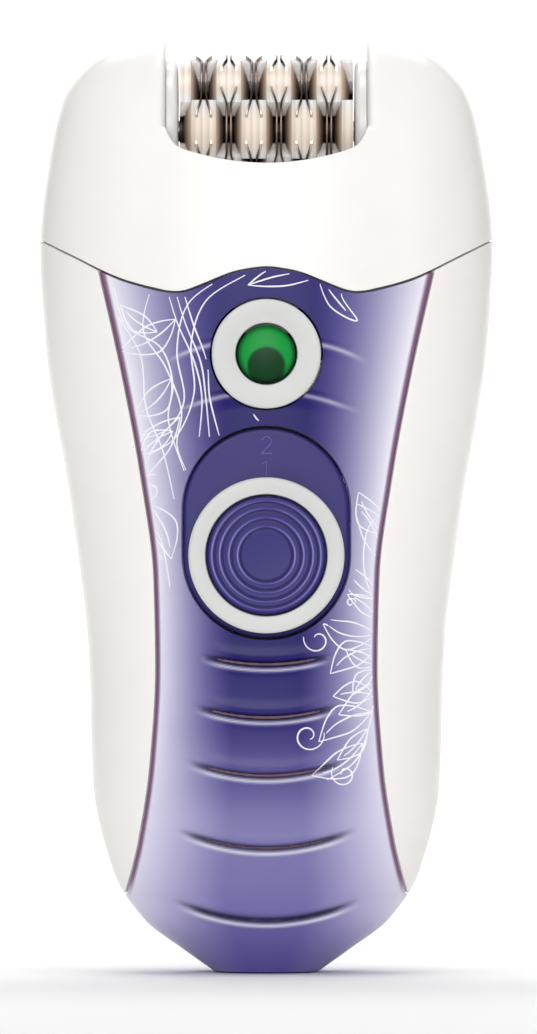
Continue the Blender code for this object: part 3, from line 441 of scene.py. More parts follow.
def tint(made, colour_at):
    """Paints a colour on each vertex, from a function of its place."""
    layer = made.data.color_attributes.new("tint", "FLOAT_COLOR", "POINT")
    for vertex, item in zip(made.data.vertices, layer.data):
        item.color = colour_at(vertex.co)
    return made


def settle(made, body, slot, *nodes):
    """Puts a finished piece on its body in place of its CAD nodes; the slot argument is not used."""
    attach(made, body)
    if nodes:
        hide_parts(*nodes)
    return made


# ---- casing skins

PLATE_RADIUS = 11.7 * MM
PLATE_LOW = 59.1 * MM
PLATE_HIGH = 65.4 * MM
BUTTON_Z = 87.5 * MM
BUTTON_RADIUS = 7.7 * MM
NOTCH_HALF = 14.275 * MM
LIP_MIDDLE = 114.5 * MM
LIP_RISE = 2.9 * MM
DRUM_Z = 119.4 * MM
CORNER_START = 12.0 * MM
CORNER_RISE = 2.1 * MM

# The smile grooves: middle height, half span, rise at the ends.
GROOVES = (
    (43.7 * MM, 9.8 * MM, 1.5 * MM),
    (36.2 * MM, 10.8 * MM, 1.9 * MM),
    (28.0 * MM, 11.8 * MM, 2.3 * MM),
    (17.75 * MM, 13.2 * MM, 2.9 * MM),
    (7.5 * MM, 13.7 * MM, 3.1 * MM),
)
# The frown ridges beside the button: inner and outer reach, height there.
RIDGES = (
    (6.5 * MM, 15.0 * MM, 88.6 * MM, 85.6 * MM),
    (2.0 * MM, 14.0 * MM, 81.8 * MM, 78.6 * MM),
)


def lip_z(x):
    """Height of the notch's lip, with rounded corners."""
    corner = max(0.0, (abs(x) - CORNER_START) / (NOTCH_HALF - CORNER_START))
    return LIP_MIDDLE + LIP_RISE * (x / NOTCH_HALF) ** 2 + CORNER_RISE * corner**2.4


def grooves_at(x, z):
    """For each groove near a place: how much of it is left there, and the place's height over its middle."""
    for middle, half, rise in GROOVES:
        off = z - middle - rise * (x / half) ** 2
        if abs(x) < half and abs(off) < 3 * MM:
            yield 1 - smoothstep(0.62 * half, half, abs(x)), off


def ridges_at(x, z):
    """The same for the ridges."""
    for near, far, start, end in RIDGES:
        share = (abs(x) - near) / (far - near)
        if -0.1 < share < 1:
            off = z - start - (end - start) * max(0.0, share) ** 1.6
            yield smoothstep(-0.1, 0.15, share) * (1 - smoothstep(0.55, 1, share)), off


def hump(off, middle, width):
    return math.exp(-(((off - middle * MM) / (width * MM)) ** 2))


def relief_at(x, z):
    """How far the panel stands proud: grooves with a lip under them, and soft ridges."""
    height = 0.0
    for fade, off in grooves_at(x, z):
        shape = -0.8 * hump(off, 0, 0.4) + 0.3 * hump(off, -0.85, 0.45) + 0.16 * hump(off, 1.1, 0.8)
        height += fade * shape * MM
    for fade, off in ridges_at(x, z):
        height += fade * 0.7 * MM * hump(off, 0, 0.8)
    return height


def raised(point):
    """A point of the form with the panel's relief."""
    lift = relief_at(point.x, point.z)
    return point + Vector((0, -lift, 0))


def panel_point(u, v, low):
    """Point of the panel: u across, v from the low height up to the seam."""
    z = low
    for _ in range(4):
        x = u * panel_half(z)
        z = low + v * (seam_z(x) - GAP / 2 - low)
    x = u * panel_half(z)
    return raised(on_form(turn_at_x(x, z), z))


def panel_skin():
    across_count = 96
    up_count = 340
    bm = bmesh.new()
    us = [2 * k / across_count - 1 for k in range(across_count + 1)]
    rows = [[panel_point(u, k / up_count, BOOT_TOP) for u in us] for k in range(up_count + 1)]
    grid_into(bm, rows)
    # The boot: the same surface carried down and right round the base.
    front = [turn_at_x(u * panel_half(BOOT_TOP), BOOT_TOP) for u in us]
    right = front[-1]
    rest_count = 150
    rest = [right - (2 * math.pi - (front[0] - right)) * k / rest_count for k in range(1, rest_count)]
    turns = front + rest
    boot_rows = 44
    boot = []
    for k in range(boot_rows + 1):
        z = BOOT_TOP * (k / boot_rows)
        ring = [raised(on_form(t, z)) if k else on_form(t, z) for t in turns]
        boot.append(ring + [ring[0]])
    grid_into(bm, boot)
    # The land under the base, with the hole of the inlet.
    land = []
    for share in (1.0, 0.85, 0.65):
        ring = [Vector((p.x * share, p.y * share, 0)) for p in boot[0]]
        land.append(ring)
    inlet = []
    for p in boot[0]:
        way = Vector((p.x, p.y, 0)).normalized()
        inlet.append(way * INLET)
    land.append(inlet)
    land.append([p + Vector((0, 0, 2 * MM)) for p in inlet])
    grid_into(bm, land[::-1])
    bmesh.ops.remove_doubles(bm, verts=bm.verts, dist=2e-6)
    open_hole(bm, front_hole, lambda x, z: raised(on_form(turn_at_x(x, z), z)))
    made = object_from(bm, "panel_skin", PANEL, angle=40)
    return thicken(made, SKIN, 0.22 * MM, lambda p: p.y < -5 * MM and front_hole(p.x, p.z) < 0.5 * MM)


def side_point(turn_at, s, v, low):
    """Point of a side skin: s across it from edge to edge, v from its foot up to the seam."""
    z = low
    for _ in range(5):
        x = on_form(turn_at(s, z), z).x
        z = low + v * (seam_z(x) - GAP / 2 - low)
    return on_form(turn_at(s, z), z)


def cheek_skin(name, side):
    """White front casing on one side of the panel."""

    def turn_at(s, z):
        inner = turn_at_x(panel_half(z) + GAP, z)
        outer = turn_at_gap(z)
        turn = inner + (outer - inner) * s
        return turn if side > 0 else math.pi - turn

    low = BOOT_TOP + GAP
    rows = []
    for k in range(161):
        rows.append([side_point(turn_at, j / 34, k / 160, low) for j in range(35)])
    bm = bmesh.new()
    grid_into(bm, rows)
    made = object_from(bm, name, PEARL, recalc=False)
    face_out(made)
    return thicken(made, SKIN, 0.22 * MM)


def face_out(made):
    """Turns an open patch of the casing so that its front looks away from the middle."""
    mesh = made.data
    face = mesh.polygons[len(mesh.polygons) // 2]
    outwards = Vector((face.center.x, face.center.y, 0))
    if face.normal.dot(outwards) < 0:
        mesh.flip_normals()


def rear_skin():
    def turn_at(s, z):
        edge = turn_at_gap(z)
        return -edge - (math.pi - 2 * edge) * s

    low = BOOT_TOP + GAP
    rows = []
    for k in range(141):
        rows.append([side_point(turn_at, j / 110, k / 140, low) for j in range(111)])
    bm = bmesh.new()
    grid_into(bm, rows)
    hole = screw_hole(SCREW_ROOM)
    open_hole(bm, hole, lambda x, z: on_form(-turn_at_x(x, z), z), front=False)
    made = object_from(bm, "rear_skin", PEARL, recalc=False)
    face_out(made)
    return thicken(made, SKIN, 0.22 * MM, lambda p: hole(p.x, p.z) < 0.5 * MM)


def stadium_points(radius, low, high, steps=48):
    top = arc_points(radius, (0, high), 0, math.pi, steps)
    bottom = arc_points(radius, (0, low), math.pi, 2 * math.pi, steps)
    return top + bottom


def front_hole(x, z):
    """Distance to the openings of the switch plate and of the button."""
    plate = math.hypot(x, z - min(max(z, PLATE_LOW), PLATE_HIGH)) - PLATE_RADIUS - GAP
    button = math.hypot(x, z - BUTTON_Z) - BUTTON_RADIUS - GAP
    return min(plate, button)


def screw_places():
    """Centres and inner ends of the housing screws, from their CAD boxes."""
    places = []
    for k in range(1, 5):
        low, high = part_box(f"housing_screw_{k}")
        places.append(((low + high) / 2, high))
    return places


def screw_hole(radius):
    centres = [centre for centre, _ in screw_places()]

    def distance(x, z):
        return min(math.hypot(x - c.x, z - c.z) for c in centres) - radius

    return distance


def core_skin():
    """Web behind the gaps between the skins, coloured dark mauve as painted shade in the gaps."""
    inset = 0.6 * MM
    rows = []
    low = 3.0 * MM
    up_count = 160
    round_count = 180
    for k in range(up_count + 1):
        ring = []
        for j in range(round_count + 1):
            turn = 2 * math.pi * j / round_count
            z = low
            for _ in range(4):
                x = on_form(turn, z, inset).x
                z = low + (k / up_count) * (seam_z(x) - 1.0 * MM - low)
            ring.append(on_form(turn, z, inset))
        rows.append(ring)
    bm = bmesh.new()
    grid_into(bm, rows)
    bmesh.ops.remove_doubles(bm, verts=bm.verts, dist=2e-6)
    open_hole(bm, front_hole, lambda x, z: on_form(turn_at_x(x, z, inset), z, inset))
    open_hole(
        bm,
        screw_hole(SCREW_ROOM + MM),
        lambda x, z: on_form(-turn_at_x(x, z, inset), z, inset),
        front=False,
    )
    made = object_from(bm, "casing_web", GAP_SHADE)
    return thicken(made, 1.0 * MM, 0.05 * MM)


def build_casing():
    panel = panel_skin()
    tint(panel, panel_tint)
    settle(panel, "handle", "violet_plastic", "front_panel")
    settle(cheek_skin("front_cheek_left", -1), "handle", "pearl_plastic", "front_shell")
    settle(cheek_skin("front_cheek_right", 1), "handle", "pearl_plastic")
    rear = rear_skin()
    wells = bmesh.new()
    for centre, far in screw_places():
        radius = SCREW_ROOM
        depth_at = on_form(-turn_at_x(centre.x, centre.z), centre.z).y - 0.7 * MM
        outer = radius + 0.9 * MM
        profile = [(radius, depth_at), (outer, depth_at), (outer, far.y), (radius, far.y)]
        steps = 40
        rings = []
        for k in range(steps):
            t = 2 * math.pi * k / steps
            rings.append(
                [
                    wells.verts.new((centre.x + r * math.cos(t), y, centre.z + r * math.sin(t)))
                    for r, y in profile
                ]
            )
        for k in range(steps):
            here, following = rings[k], rings[(k + 1) % steps]
            for j in range(4):
                after = (j + 1) % 4
                wells.faces.new((here[j], here[after], following[after], following[j]))
    settle(rear, "handle", "pearl_plastic", "rear_shell")
    sleeves = object_from(wells, "screw_wells", PEARL)
    settle(sleeves, "handle", "pearl_plastic")
    settle(core_skin(), "handle", "black_plastic")


# The panel's colours down its middle: height, then the colour as seen.
MIDDLE_TINTS = (
    (0.0 * MM, (96, 88, 158)),
    (13.0 * MM, (124, 117, 172)),
    (21.0 * MM, (128, 122, 174)),
    (28.0 * MM, (90, 84, 144)),
    (36.0 * MM, (48, 42, 112)),
    (45.0 * MM, (34, 28, 100)),
    (70.0 * MM, (34, 28, 100)),
    (97.0 * MM, (38, 32, 108)),
)
EDGE_HIGH = (238, 236, 246)
EDGE_LOW = (222, 218, 238)


def groove_shade_and_highlight_at(x, z):
    """Painted shade that darkens the grooves, and painted highlights on their lips and on the ridges, each
    from 0 to 1.
    """
    dark = 0.0
    bright = 0.0
    for fade, off in grooves_at(x, z):
        dark += fade * hump(off, 0, 0.34)
        bright += 0.75 * fade * hump(off, -0.8, 0.3)
    for fade, off in ridges_at(x, z):
        bright += 0.6 * fade * hump(off, 0.3, 0.32)
    return min(1.0, dark), min(1.0, bright)


def panel_tint(point):
    """Indigo down the middle, fading to pale lilac at both edges."""
    z = point.z
    bands = list(zip(MIDDLE_TINTS, MIDDLE_TINTS[1:]))
    middle = MIDDLE_TINTS[-1][1]
    for (low, below), (high, above) in bands:
        if z <= high:
            t = smoothstep(low, high, z)
            middle = [a + (b - a) * t for a, b in zip(below, above)]
            break
    t = smoothstep(20 * MM, 95 * MM, z)
    edge = [a + (b - a) * t for a, b in zip(EDGE_LOW, EDGE_HIGH)]
    share = abs(point.x) / panel_half(z)
    if point.y > -0.5 * MM:
        share = 0.5
    fade = min(1.0, max(0.0, (share - 0.3) / 0.66))
    if z < BOOT_TOP:
        fade *= 0.35 + 0.65 * smoothstep(0, BOOT_TOP, z)
    fade = fade**1.08
    shade = [a + (b - a) * fade for a, b in zip(middle, edge)]
    # Painted shade in the grooves, and painted highlights on their lips and on the ridges.
    dark, bright = groove_shade_and_highlight_at(point.x, z)
    shade = [a * (1 - 0.62 * dark) for a in shade]
    shade = [a + (246 - a) * bright for a in shade]
    # The panel's outer rim is darkened to mauve as painted shade of the gap beside it.
    rim = smoothstep(0.965, 0.985, share) * smoothstep(10 * MM, 14 * MM, z)
    shade = [a + (b - a) * rim for a, b in zip(shade, (112, 72, 108))]
    return srgb(*shade)


# ---- head housing


def head_skin():
    """Head housing: outer form, notch walls, ledges, top, and the hollow that the drum turns in."""
    side_count = 26
    right_xs = [0.16, 0.33, 0.5, 0.66, 0.78, 0.86, 0.91, 0.95, 0.98, 1]
    inner_xs = [-x for x in reversed(right_xs)] + [0] + right_xs
    inner_xs = [x * NOTCH_HALF for x in inner_xs]
    foot = seam_z(NOTCH_HALF) + GAP / 2
    lip_share = (lip_z(NOTCH_HALF) - foot) / (HEIGHT - foot)
    low_shares = [0.0, 0.018, 0.07, 0.16, 0.27, 0.38, 0.49, 0.6, 0.71, 0.82, 0.9, 0.965, 1.0]
    low_shares = [share * lip_share for share in low_shares]
    high_shares = [0.045, 0.14, 0.27, 0.4, 0.53, 0.66, 0.78, 0.88, 0.95, 1.0]
    high_shares = [lip_share + share * (1 - lip_share) for share in high_shares]
    all_shares = low_shares + high_shares

    def inner_point(x, share, back):
        z = seam_z(x) + GAP / 2 + share / lip_share * (lip_z(x) - seam_z(x) - GAP / 2)
        turn = turn_at_x(x, z)
        return on_form(-turn if back else turn, z)

    def side_at(j, share, side):
        along = j / side_count
        eased = along + 0.35 * math.sin(4 * math.pi * along) / (4 * math.pi)
        z = foot
        for _ in range(5):
            quarter = turn_at_x(NOTCH_HALF, z)
            turn = quarter * (1 - 2 * eased)
            if side < 0:
                turn = math.pi - turn
            x = on_form(turn, z).x
            base = seam_z(x) + GAP / 2
            z = base + share * (HEIGHT - base)
        return on_form(turn, z)

    bm = bmesh.new()
    steps = 8

    def rim_of(point, depth):
        """A point moved level towards the middle, for the rolled lower edge."""
        level = point.z
        now = Vector((point.x / half_width(level), point.y / half_depth(level)))
        inner = Vector((now.x * (half_width(level) - depth), now.y * (half_depth(level) - depth)))
        return Vector((inner.x, inner.y, level))

    def with_rim(column):
        return [rim_of(column[0], 1.6 * MM), rim_of(column[0], 0.25 * MM)] + column

    for back in (False, True):
        columns = [with_rim([inner_point(x, share, back) for share in low_shares]) for x in inner_xs]
        grid_into(bm, columns)
    for side in (-1, 1):
        columns = []
        for j in range(side_count + 1):
            columns.append(with_rim([side_at(j, share, side) for share in all_shares]))
        grid_into(bm, columns)
        # The top of this ear, and the wall of the notch.
        top = []
        for j in range(side_count // 2 + 1):
            edge = columns[j][-1]
            top.append([Vector((edge.x, edge.y * (1 - 2 * k / steps), edge.z)) for k in range(steps + 1)])
        grid_into(bm, top)
        wall = []
        for point in columns[0][2 + len(low_shares) - 1 :]:
            wall.append([Vector((point.x, point.y * (1 - 2 * k / steps), point.z)) for k in range(steps + 1)])
        grid_into(bm, wall)
    # Ledges from the lip in to the hollow, and the hollow itself.
    reach = 12.7 * MM
    turns = 14
    for back in (1, -1):
        columns = []
        for x in inner_xs:
            edge = inner_point(x, lip_share, back > 0)
            drop = DRUM_Z - edge.z
            inner_y = back * math.sqrt(reach**2 - drop**2)
            start = math.asin(drop / reach)
            column = [edge, Vector((x, edge.y + (inner_y - edge.y) * 0.22, edge.z))]
            column.append(Vector((x, edge.y + (inner_y - edge.y) * 0.8, edge.z)))
            for k in range(turns + 1):
                t = start + (math.pi / 2 - start) * k / turns
                column.append(Vector((x, back * reach * math.cos(t), DRUM_Z - reach * math.sin(t))))
            columns.append(column)
        grid_into(bm, columns)
    bmesh.ops.remove_doubles(bm, verts=bm.verts, dist=5e-6)
    made = object_from(bm, "head_skin", PEARL, angle=None)
    smooth = made.modifiers.new("smooth", "SUBSURF")
    smooth.levels = 3
    smooth.render_levels = 3
    return apply_modifiers(made, angle=None)


settle(head_skin(), "head", "pearl_plastic", "head_housing")
build_casing()

# ---- switch and button

SWITCH_Z = 59.1 * MM
PLATE_FACE = -16.02 * MM
KNOB_RINGS = (4.06, 5.3, 6.6, 7.7)


def switch_plate():
    """Flat recessed plate with a rounded edge."""
    bm = bmesh.new()
    outline = stadium_points(PLATE_RADIUS, PLATE_LOW, PLATE_HIGH)
    unique = [p for k, p in enumerate(outline) if math.dist(p, outline[k - 1]) > 1e-6]
    loops = []
    for inset, y in ((0.0, 1.3), (0.0, 0.22), (0.07, 0.07), (0.22, 0.0), (0.7, 0.0)):
        loop = []
        for x, z in unique:
            middle = min(max(z, PLATE_LOW), PLATE_HIGH)
            scale = 1 - inset * MM / PLATE_RADIUS
            loop.append(bm.verts.new((x * scale, PLATE_FACE + y * MM, middle + (z - middle) * scale)))
        loops.append(loop)
    count = len(unique)
    for low, high in zip(loops, loops[1:]):
        for k in range(count):
            after = (k + 1) % count
            bm.faces.new((low[k], low[after], high[after], high[k]))
    bm.faces.new(loops[-1])
    bm.faces.new(loops[0][::-1])
    return object_from(bm, "plate_skin", VIOLET)


def ring_profile(outer, bore, back, face, soft):
    """Closed section of a ring with a soft outer edge and a small inner one, in millimetres."""
    points = [(bore, back), (bore, face - 0.35), (bore + 0.1, face - 0.1), (bore + 0.35, face)]
    for k in range(9):
        t = math.pi / 2 * (1 - k / 8)
        points.append((outer - soft + soft * math.cos(t), face - soft * 0.8 + soft * 0.8 * math.sin(t)))
    points += [(outer, back), (bore, back)]
    return [(r * MM, h * MM) for r, h in points]


def cap_profile():
    """Shallow dish with fine rings, in radius and height towards the front."""
    points = []
    count = 150
    for k in range(count + 1):
        r = 8.0 * k / count
        height = 18.86 + 0.30 * (r / 8.0) ** 2
        for at in KNOB_RINGS:
            height += 0.13 * math.exp(-(((r - at) / 0.13) ** 2))
            height -= 0.07 * math.exp(-(((r - at + 0.32) / 0.16) ** 2))
        points.append((r * MM, height * MM))
    points += [(8.17 * MM, 19.14 * MM), (8.27 * MM, 19.02 * MM), (8.3 * MM, 18.85 * MM)]
    points += [(8.3 * MM, 17.82 * MM), (0, 17.82 * MM)]
    return points


def cap_tint(point):
    """Indigo dish whose raised rings carry painted highlights, strongest at the sides, with painted shade
    just inside each ring.
    """
    up = point.z - SWITCH_Z
    r = math.hypot(point.x, up) / MM
    side = abs(point.x) / max(1e-9, math.hypot(point.x, up))
    ring = max(math.exp(-(((r - at) / 0.16) ** 2)) for at in KNOB_RINGS)
    # Painted shade just inside each raised ring.
    under = max(math.exp(-(((r - at + 0.36) / 0.2) ** 2)) for at in KNOB_RINGS)
    shade = [part * (1 - 0.25 * under) for part in (44, 38, 112)]
    # Painted highlight on the raised rings, strongest at the sides.
    ring *= 0.3 + 0.5 * side
    return srgb(*[a + (b - a) * ring for a, b in zip(shade, (170, 164, 218))])


def lens_tint(point):
    """Bright green above, a dark bulb seen below."""
    up = (point.z - BUTTON_Z) / MM
    across_by = point.x / MM
    bulb = 1 - smoothstep(2.4, 2.9, math.hypot(across_by, up + 1.7))
    rim = smoothstep(3.2, 4.0, math.hypot(across_by, up))
    shade = [a + (b - a) * bulb for a, b in zip((8, 150, 60), (0, 58, 22))]
    shade = [part * (1 - 0.35 * rim) for part in shade]
    return srgb(*shade)


def build_controls():
    settle(switch_plate(), "handle", "violet_plastic", "switch_plate")
    centre = (0, 0, SWITCH_Z)
    ring = lathe("knob_ring_skin", SILVER, ring_profile(11.0, 8.6, 16.32, 19.62, 0.5), centre)
    settle(ring, "switch", "silver_plastic", "knob_ring")
    cap = lathe("knob_cap_skin", CAP, cap_profile(), centre, steps=120, angle=None)
    tint(cap, cap_tint)
    settle(cap, "switch", "violet_plastic", "knob_cap")
    centre = (0, 0, BUTTON_Z)
    button = lathe("button_skin", SILVER, ring_profile(7.7, 4.35, 16.3, 19.3, 0.45), centre)
    settle(button, "button", "silver_plastic", "release_button")
    points = []
    for k in range(25):
        t = math.pi / 2 * k / 24
        points.append((4.05 * MM * math.sin(t), (18.3 + 0.8 * math.cos(t)) * MM))
    points += [(4.05 * MM, 17.0 * MM), (0, 17.0 * MM)]
    lens = lathe("lens_skin", LENS, points, centre, steps=72, angle=50)
    tint(lens, lens_tint)
    settle(lens, "button", "green_lens", "indicator_lens")


# ---- drum

COLUMN_PITCH = 3.55 * MM
BARREL_RADIUS = 7.55 * MM
BARREL_HALF = 2.85 * MM
BARREL_END = 4.15 * MM
FACET_HALF = 1.72 * MM
QUARTER = math.pi / 2


def at_station(angle, radial, x, along):
    """A point of the drum: angle 0 is the front and a quarter turn is the top."""
    y = -radial * math.cos(angle) + along * math.sin(angle)
    z = radial * math.sin(angle) + along * math.cos(angle)
    return Vector((x, y, DRUM_Z + z))


def barrel_section(along):
    """Half section of a barrel at a place along it: (across, outwards) from the facet round to the back."""
    share = abs(along) / BARREL_END
    half = FACET_HALF + (BARREL_HALF - FACET_HALF) * max(0.0, 1 - share**2) ** 0.75 + 0.05 * MM
    front = 2.8 * MM - 0.75 * MM * share**2
    back = 2.9 * MM * max(0.05, 1 - share**2) ** 0.5
    points = [(FACET_HALF * k / 5, front) for k in range(6)]
    start = 0.6
    for k in range(1, 9):
        a = start + (math.pi / 2 - start) * k / 8
        x = FACET_HALF + (half - FACET_HALF) * (math.sin(a) - math.sin(start)) / (1 - math.sin(start))
        points.append((x, front * math.cos(a) / math.cos(start)))
    for k in range(1, 9):
        a = math.pi / 2 * k / 8
        points.append((half * math.cos(a), -back * math.sin(a)))
    return points


def barrel_into(bm, middle, angle, limit):
    """One oval barrel with a flat bright face outwards; limit is the end of the drum."""
    rings = 26
    rows = []
    for j in range(-1, rings + 2):
        along = BARREL_END * (2 * min(max(j, 0), rings) / rings - 1)
        half = barrel_section(along)
        section = half + [(-x, r) for x, r in reversed(half[:-1])]
        closing = 0.0 if j in (-1, rings + 1) else 1.0
        row = []
        for x, r in section:
            place = min(max(middle + x * closing, -limit), limit)
            row.append(at_station(angle, BARREL_RADIUS + r * closing, place, along))
        rows.append(row)
    grid_into(bm, rows)


def barrel_colour(middle):
    """Bright streaky facets, beige sides that painted shade darkens round the back, and painted shade over
    the hub deep between the barrels.
    """

    def colour(point):
        off = abs(point.x - middle) / MM
        radial = math.hypot(point.y, point.z - DRUM_Z) / MM
        angle = math.atan2(point.z - DRUM_Z, -point.y)
        around = (angle / QUARTER * 2) % 1.0
        facet = 1 - smoothstep(1.68, 1.76, off)
        streak = 0.5 + 0.5 * math.sin((point.x - middle) / MM * 6.5 + 0.8)
        tip = smoothstep(0.0, 0.35, abs(around - 0.5)) if radial > 8.6 else 0.0
        # Painted shade darkens the sides round the back of the barrel.
        edge = smoothstep(1.7, 2.85, off)
        side = [a + (b - a) * edge for a, b in zip((206, 196, 187), (120, 100, 86))]
        bright = [214 + 32 * streak, 214 + 31 * streak, 213 + 31 * streak]
        shade = [a + (b - a) * facet for a, b in zip(side, bright)]
        # Painted shade over the hub, deep between the barrels.
        deep = 1 - smoothstep(5.0, 6.6, radial)
        shade = [a + (b - a) * deep for a, b in zip(shade, (52, 44, 40))]
        warm = 0.12 * tip
        return srgb(shade[0], shade[1] * (1 - warm * 0.5), shade[2] * (1 - warm))

    return colour


def blade_into(bm, middle, angle, side):
    """One sprung plate of a tweezer pair: a straight stem whose ends fork round the next barrels."""
    thick = 0.3 * MM
    rows = []
    count = 44
    for j in range(count + 1):
        along = (-6.1 + 12.2 * j / count) * MM
        splay = smoothstep(3.3 * MM, 6.3 * MM, abs(along))
        offset = (0.16 + 0.75 * splay) * MM
        reach = math.sqrt((10.9 * MM) ** 2 - along**2)
        depth = (6.2 + (0.75 - 6.2) * smoothstep(3.0 * MM, 3.9 * MM, abs(along))) * MM
        start = reach - depth
        row = [(start, offset), (start, offset + thick), (reach - 0.12 * MM, offset + thick)]
        row += [(reach, offset + thick * 0.75), (reach, offset + thick * 0.2), (reach - 0.12 * MM, offset)]
        row.append(row[0])
        rows.append([at_station(angle, r, middle + side * o, along) for r, o in row])
    made = grid_into(bm, rows)
    for row in (made[0], made[-1]):
        bm.faces.new(row[:-1])


def blade_colour(middle):
    """Dark stems whose outer edge carries a painted highlight, and forks made paler by painted reflection
    where the ends spread outwards.
    """

    def colour(point):
        off = abs(point.x - middle) / MM
        radial = math.hypot(point.y, point.z - DRUM_Z) / MM
        arm = smoothstep(0.4, 1.1, off)
        # Painted highlight along the stem's outer edge.
        stem = [a + (b - a) * smoothstep(9.9, 10.8, radial) for a, b in zip((40, 31, 28), (96, 80, 70))]
        # The forks are made paler as painted reflection.
        return srgb(*[a + (b - a) * arm for a, b in zip(stem, (226, 208, 192))])

    return colour


def build_drum():
    end = 12.325 * MM
    for k in range(8):
        middle = (k - 3.5) * COLUMN_PITCH
        shift = QUARTER / 2 if k % 2 == 0 else 0.0
        bm = bmesh.new()
        for station in range(4):
            barrel_into(bm, middle, shift + QUARTER * station, end)
        hub = []
        half = COLUMN_PITCH / 2 - 0.03 * MM
        near = [(1.55, -half), (4.9, -half), (5.0, -half * 0.9)]
        for radial, off in near + [(radial, -off) for radial, off in reversed(near)]:
            ring = []
            for step in range(49):
                x = min(max(middle + off, -end), end)
                ring.append(at_station(2 * math.pi * step / 48, radial * MM, x, 0))
            hub.append(ring)
        grid_into(bm, hub + [hub[0]])
        bmesh.ops.remove_doubles(bm, verts=bm.verts, dist=2e-6)
        segment = object_from(bm, f"drum_barrels_{k + 1}", BARREL_FINISH, angle=32)
        tint(segment, barrel_colour(middle))
        settle(segment, "drum", "barrel_plastic", f"drum_segment_{k + 1}")
        if 0 < k < 7:
            bm = bmesh.new()
            for station in range(4):
                angle = shift + QUARTER / 2 + QUARTER * station
                for side in (-1, 1):
                    blade_into(bm, middle, angle, side)
            bmesh.ops.remove_doubles(bm, verts=bm.verts, dist=2e-6)
            blades = object_from(bm, f"tweezers_{k}", BLADE, angle=30)
            tint(blades, blade_colour(middle))
            settle(blades, "drum", "spring_steel", f"tweezer_plates_{k}")


def build_cradle():
    """Trough under the drum and the thick rounded cheeks at its ends."""
    profile = [(1.9, 14.2), (1.9, 12.5)]
    for k in range(10):
        t = math.pi / 2 * k / 9
        profile.append((8.9 + 1.15 * math.sin(t), 13.35 - 0.85 * math.cos(t)))
    profile += [(10.05, 14.2), (1.9, 14.2)]
    profile = [(r * MM, h * MM) for r, h in profile]
    centre = (0, 0, DRUM_Z)
    right = lathe("cheek_right", CHEEK, profile, centre, axis="X", steps=128)
    settle(right, "head", "grey_plastic", "drum_cradle")
    mirrored = [(r, -h) for r, h in profile]
    left = lathe("cheek_left", CHEEK, mirrored, centre, axis="X", steps=128)
    settle(left, "head", "grey_plastic")
    bm = bmesh.new()
    start = math.asin((DRUM_Z - 114.3 * MM) / (11.9 * MM))
    sections = []
    for x in (-13.9 * MM, -13.6 * MM, 13.6 * MM, 13.9 * MM):
        section = []
        for k in range(49):
            t = start + (math.pi - 2 * start) * k / 48
            section.append(Vector((x, -11.4 * MM * math.cos(t), DRUM_Z - 11.4 * MM * math.sin(t))))
        for k in range(49):
            t = math.pi - start - (math.pi - 2 * start) * k / 48
            section.append(Vector((x, -12.4 * MM * math.cos(t), DRUM_Z - 12.4 * MM * math.sin(t))))
        sections.append(section + [section[0]])
    made = grid_into(bm, sections)
    for row in (made[0], made[-1]):
        bm.faces.new(row[:-1])
    bmesh.ops.remove_doubles(bm, verts=bm.verts, dist=2e-6)
    trough = object_from(bm, "drum_trough", CHEEK, angle=30)
    settle(trough, "head", "grey_plastic")


# ---- printed flourish


def smooth_path(points, step=0.35):
    """Points along a smooth curve through the given ones, all in millimetres."""
    ends = [points[0]] + list(points) + [points[-1]]
    path = []
    for a, b, c, d in zip(ends, ends[1:], ends[2:], ends[3:]):
        count = max(2, int(math.dist(b, c) / step))
        for k in range(count):
            t = k / count
            place = []
            for p, q, r, v in zip(a, b, c, d):
                place.append(
                    0.5
                    * (
                        2 * q
                        + (r - p) * t
                        + (2 * p - 5 * q + 4 * r - v) * t * t
                        + (3 * q - p - 3 * r + v) * t**3
                    )
                )
            path.append(tuple(place))
    path.append(tuple(points[-1]))
    return path


def leaf(base, tip, bulge, lean=0.0):
    """Outline of a leaf between two points, with a vein."""
    bx, bz = base
    dx, dz = tip[0] - bx, tip[1] - bz
    sides = []
    for side in (1, -1):
        points = [base]
        for share, out in ((0.2, 0.62), (0.45, 1.0), (0.72, 0.68)):
            width = bulge * out * side + lean * math.sin(math.pi * share)
            points.append((bx + dx * share - dz * width, bz + dz * share + dx * width))
        points.append(tip)
        sides.append(smooth_path(points))
    vein = [base]
    for share in (0.3, 0.6, 0.82):
        width = lean * math.sin(math.pi * share)
        vein.append((bx + dx * share - dz * width, bz + dz * share + dx * width))
    return sides + [smooth_path(vein)]


def curl(centre, radius, start, turns):
    """A closing spiral."""
    path = []
    count = int(abs(turns) * 40)
    for k in range(count + 1):
        share = k / count
        r = radius * (1 - 0.78 * share)
        t = start + 2 * math.pi * turns * share
        path.append((centre[0] + r * math.cos(t), centre[1] + r * math.sin(t)))
    return path


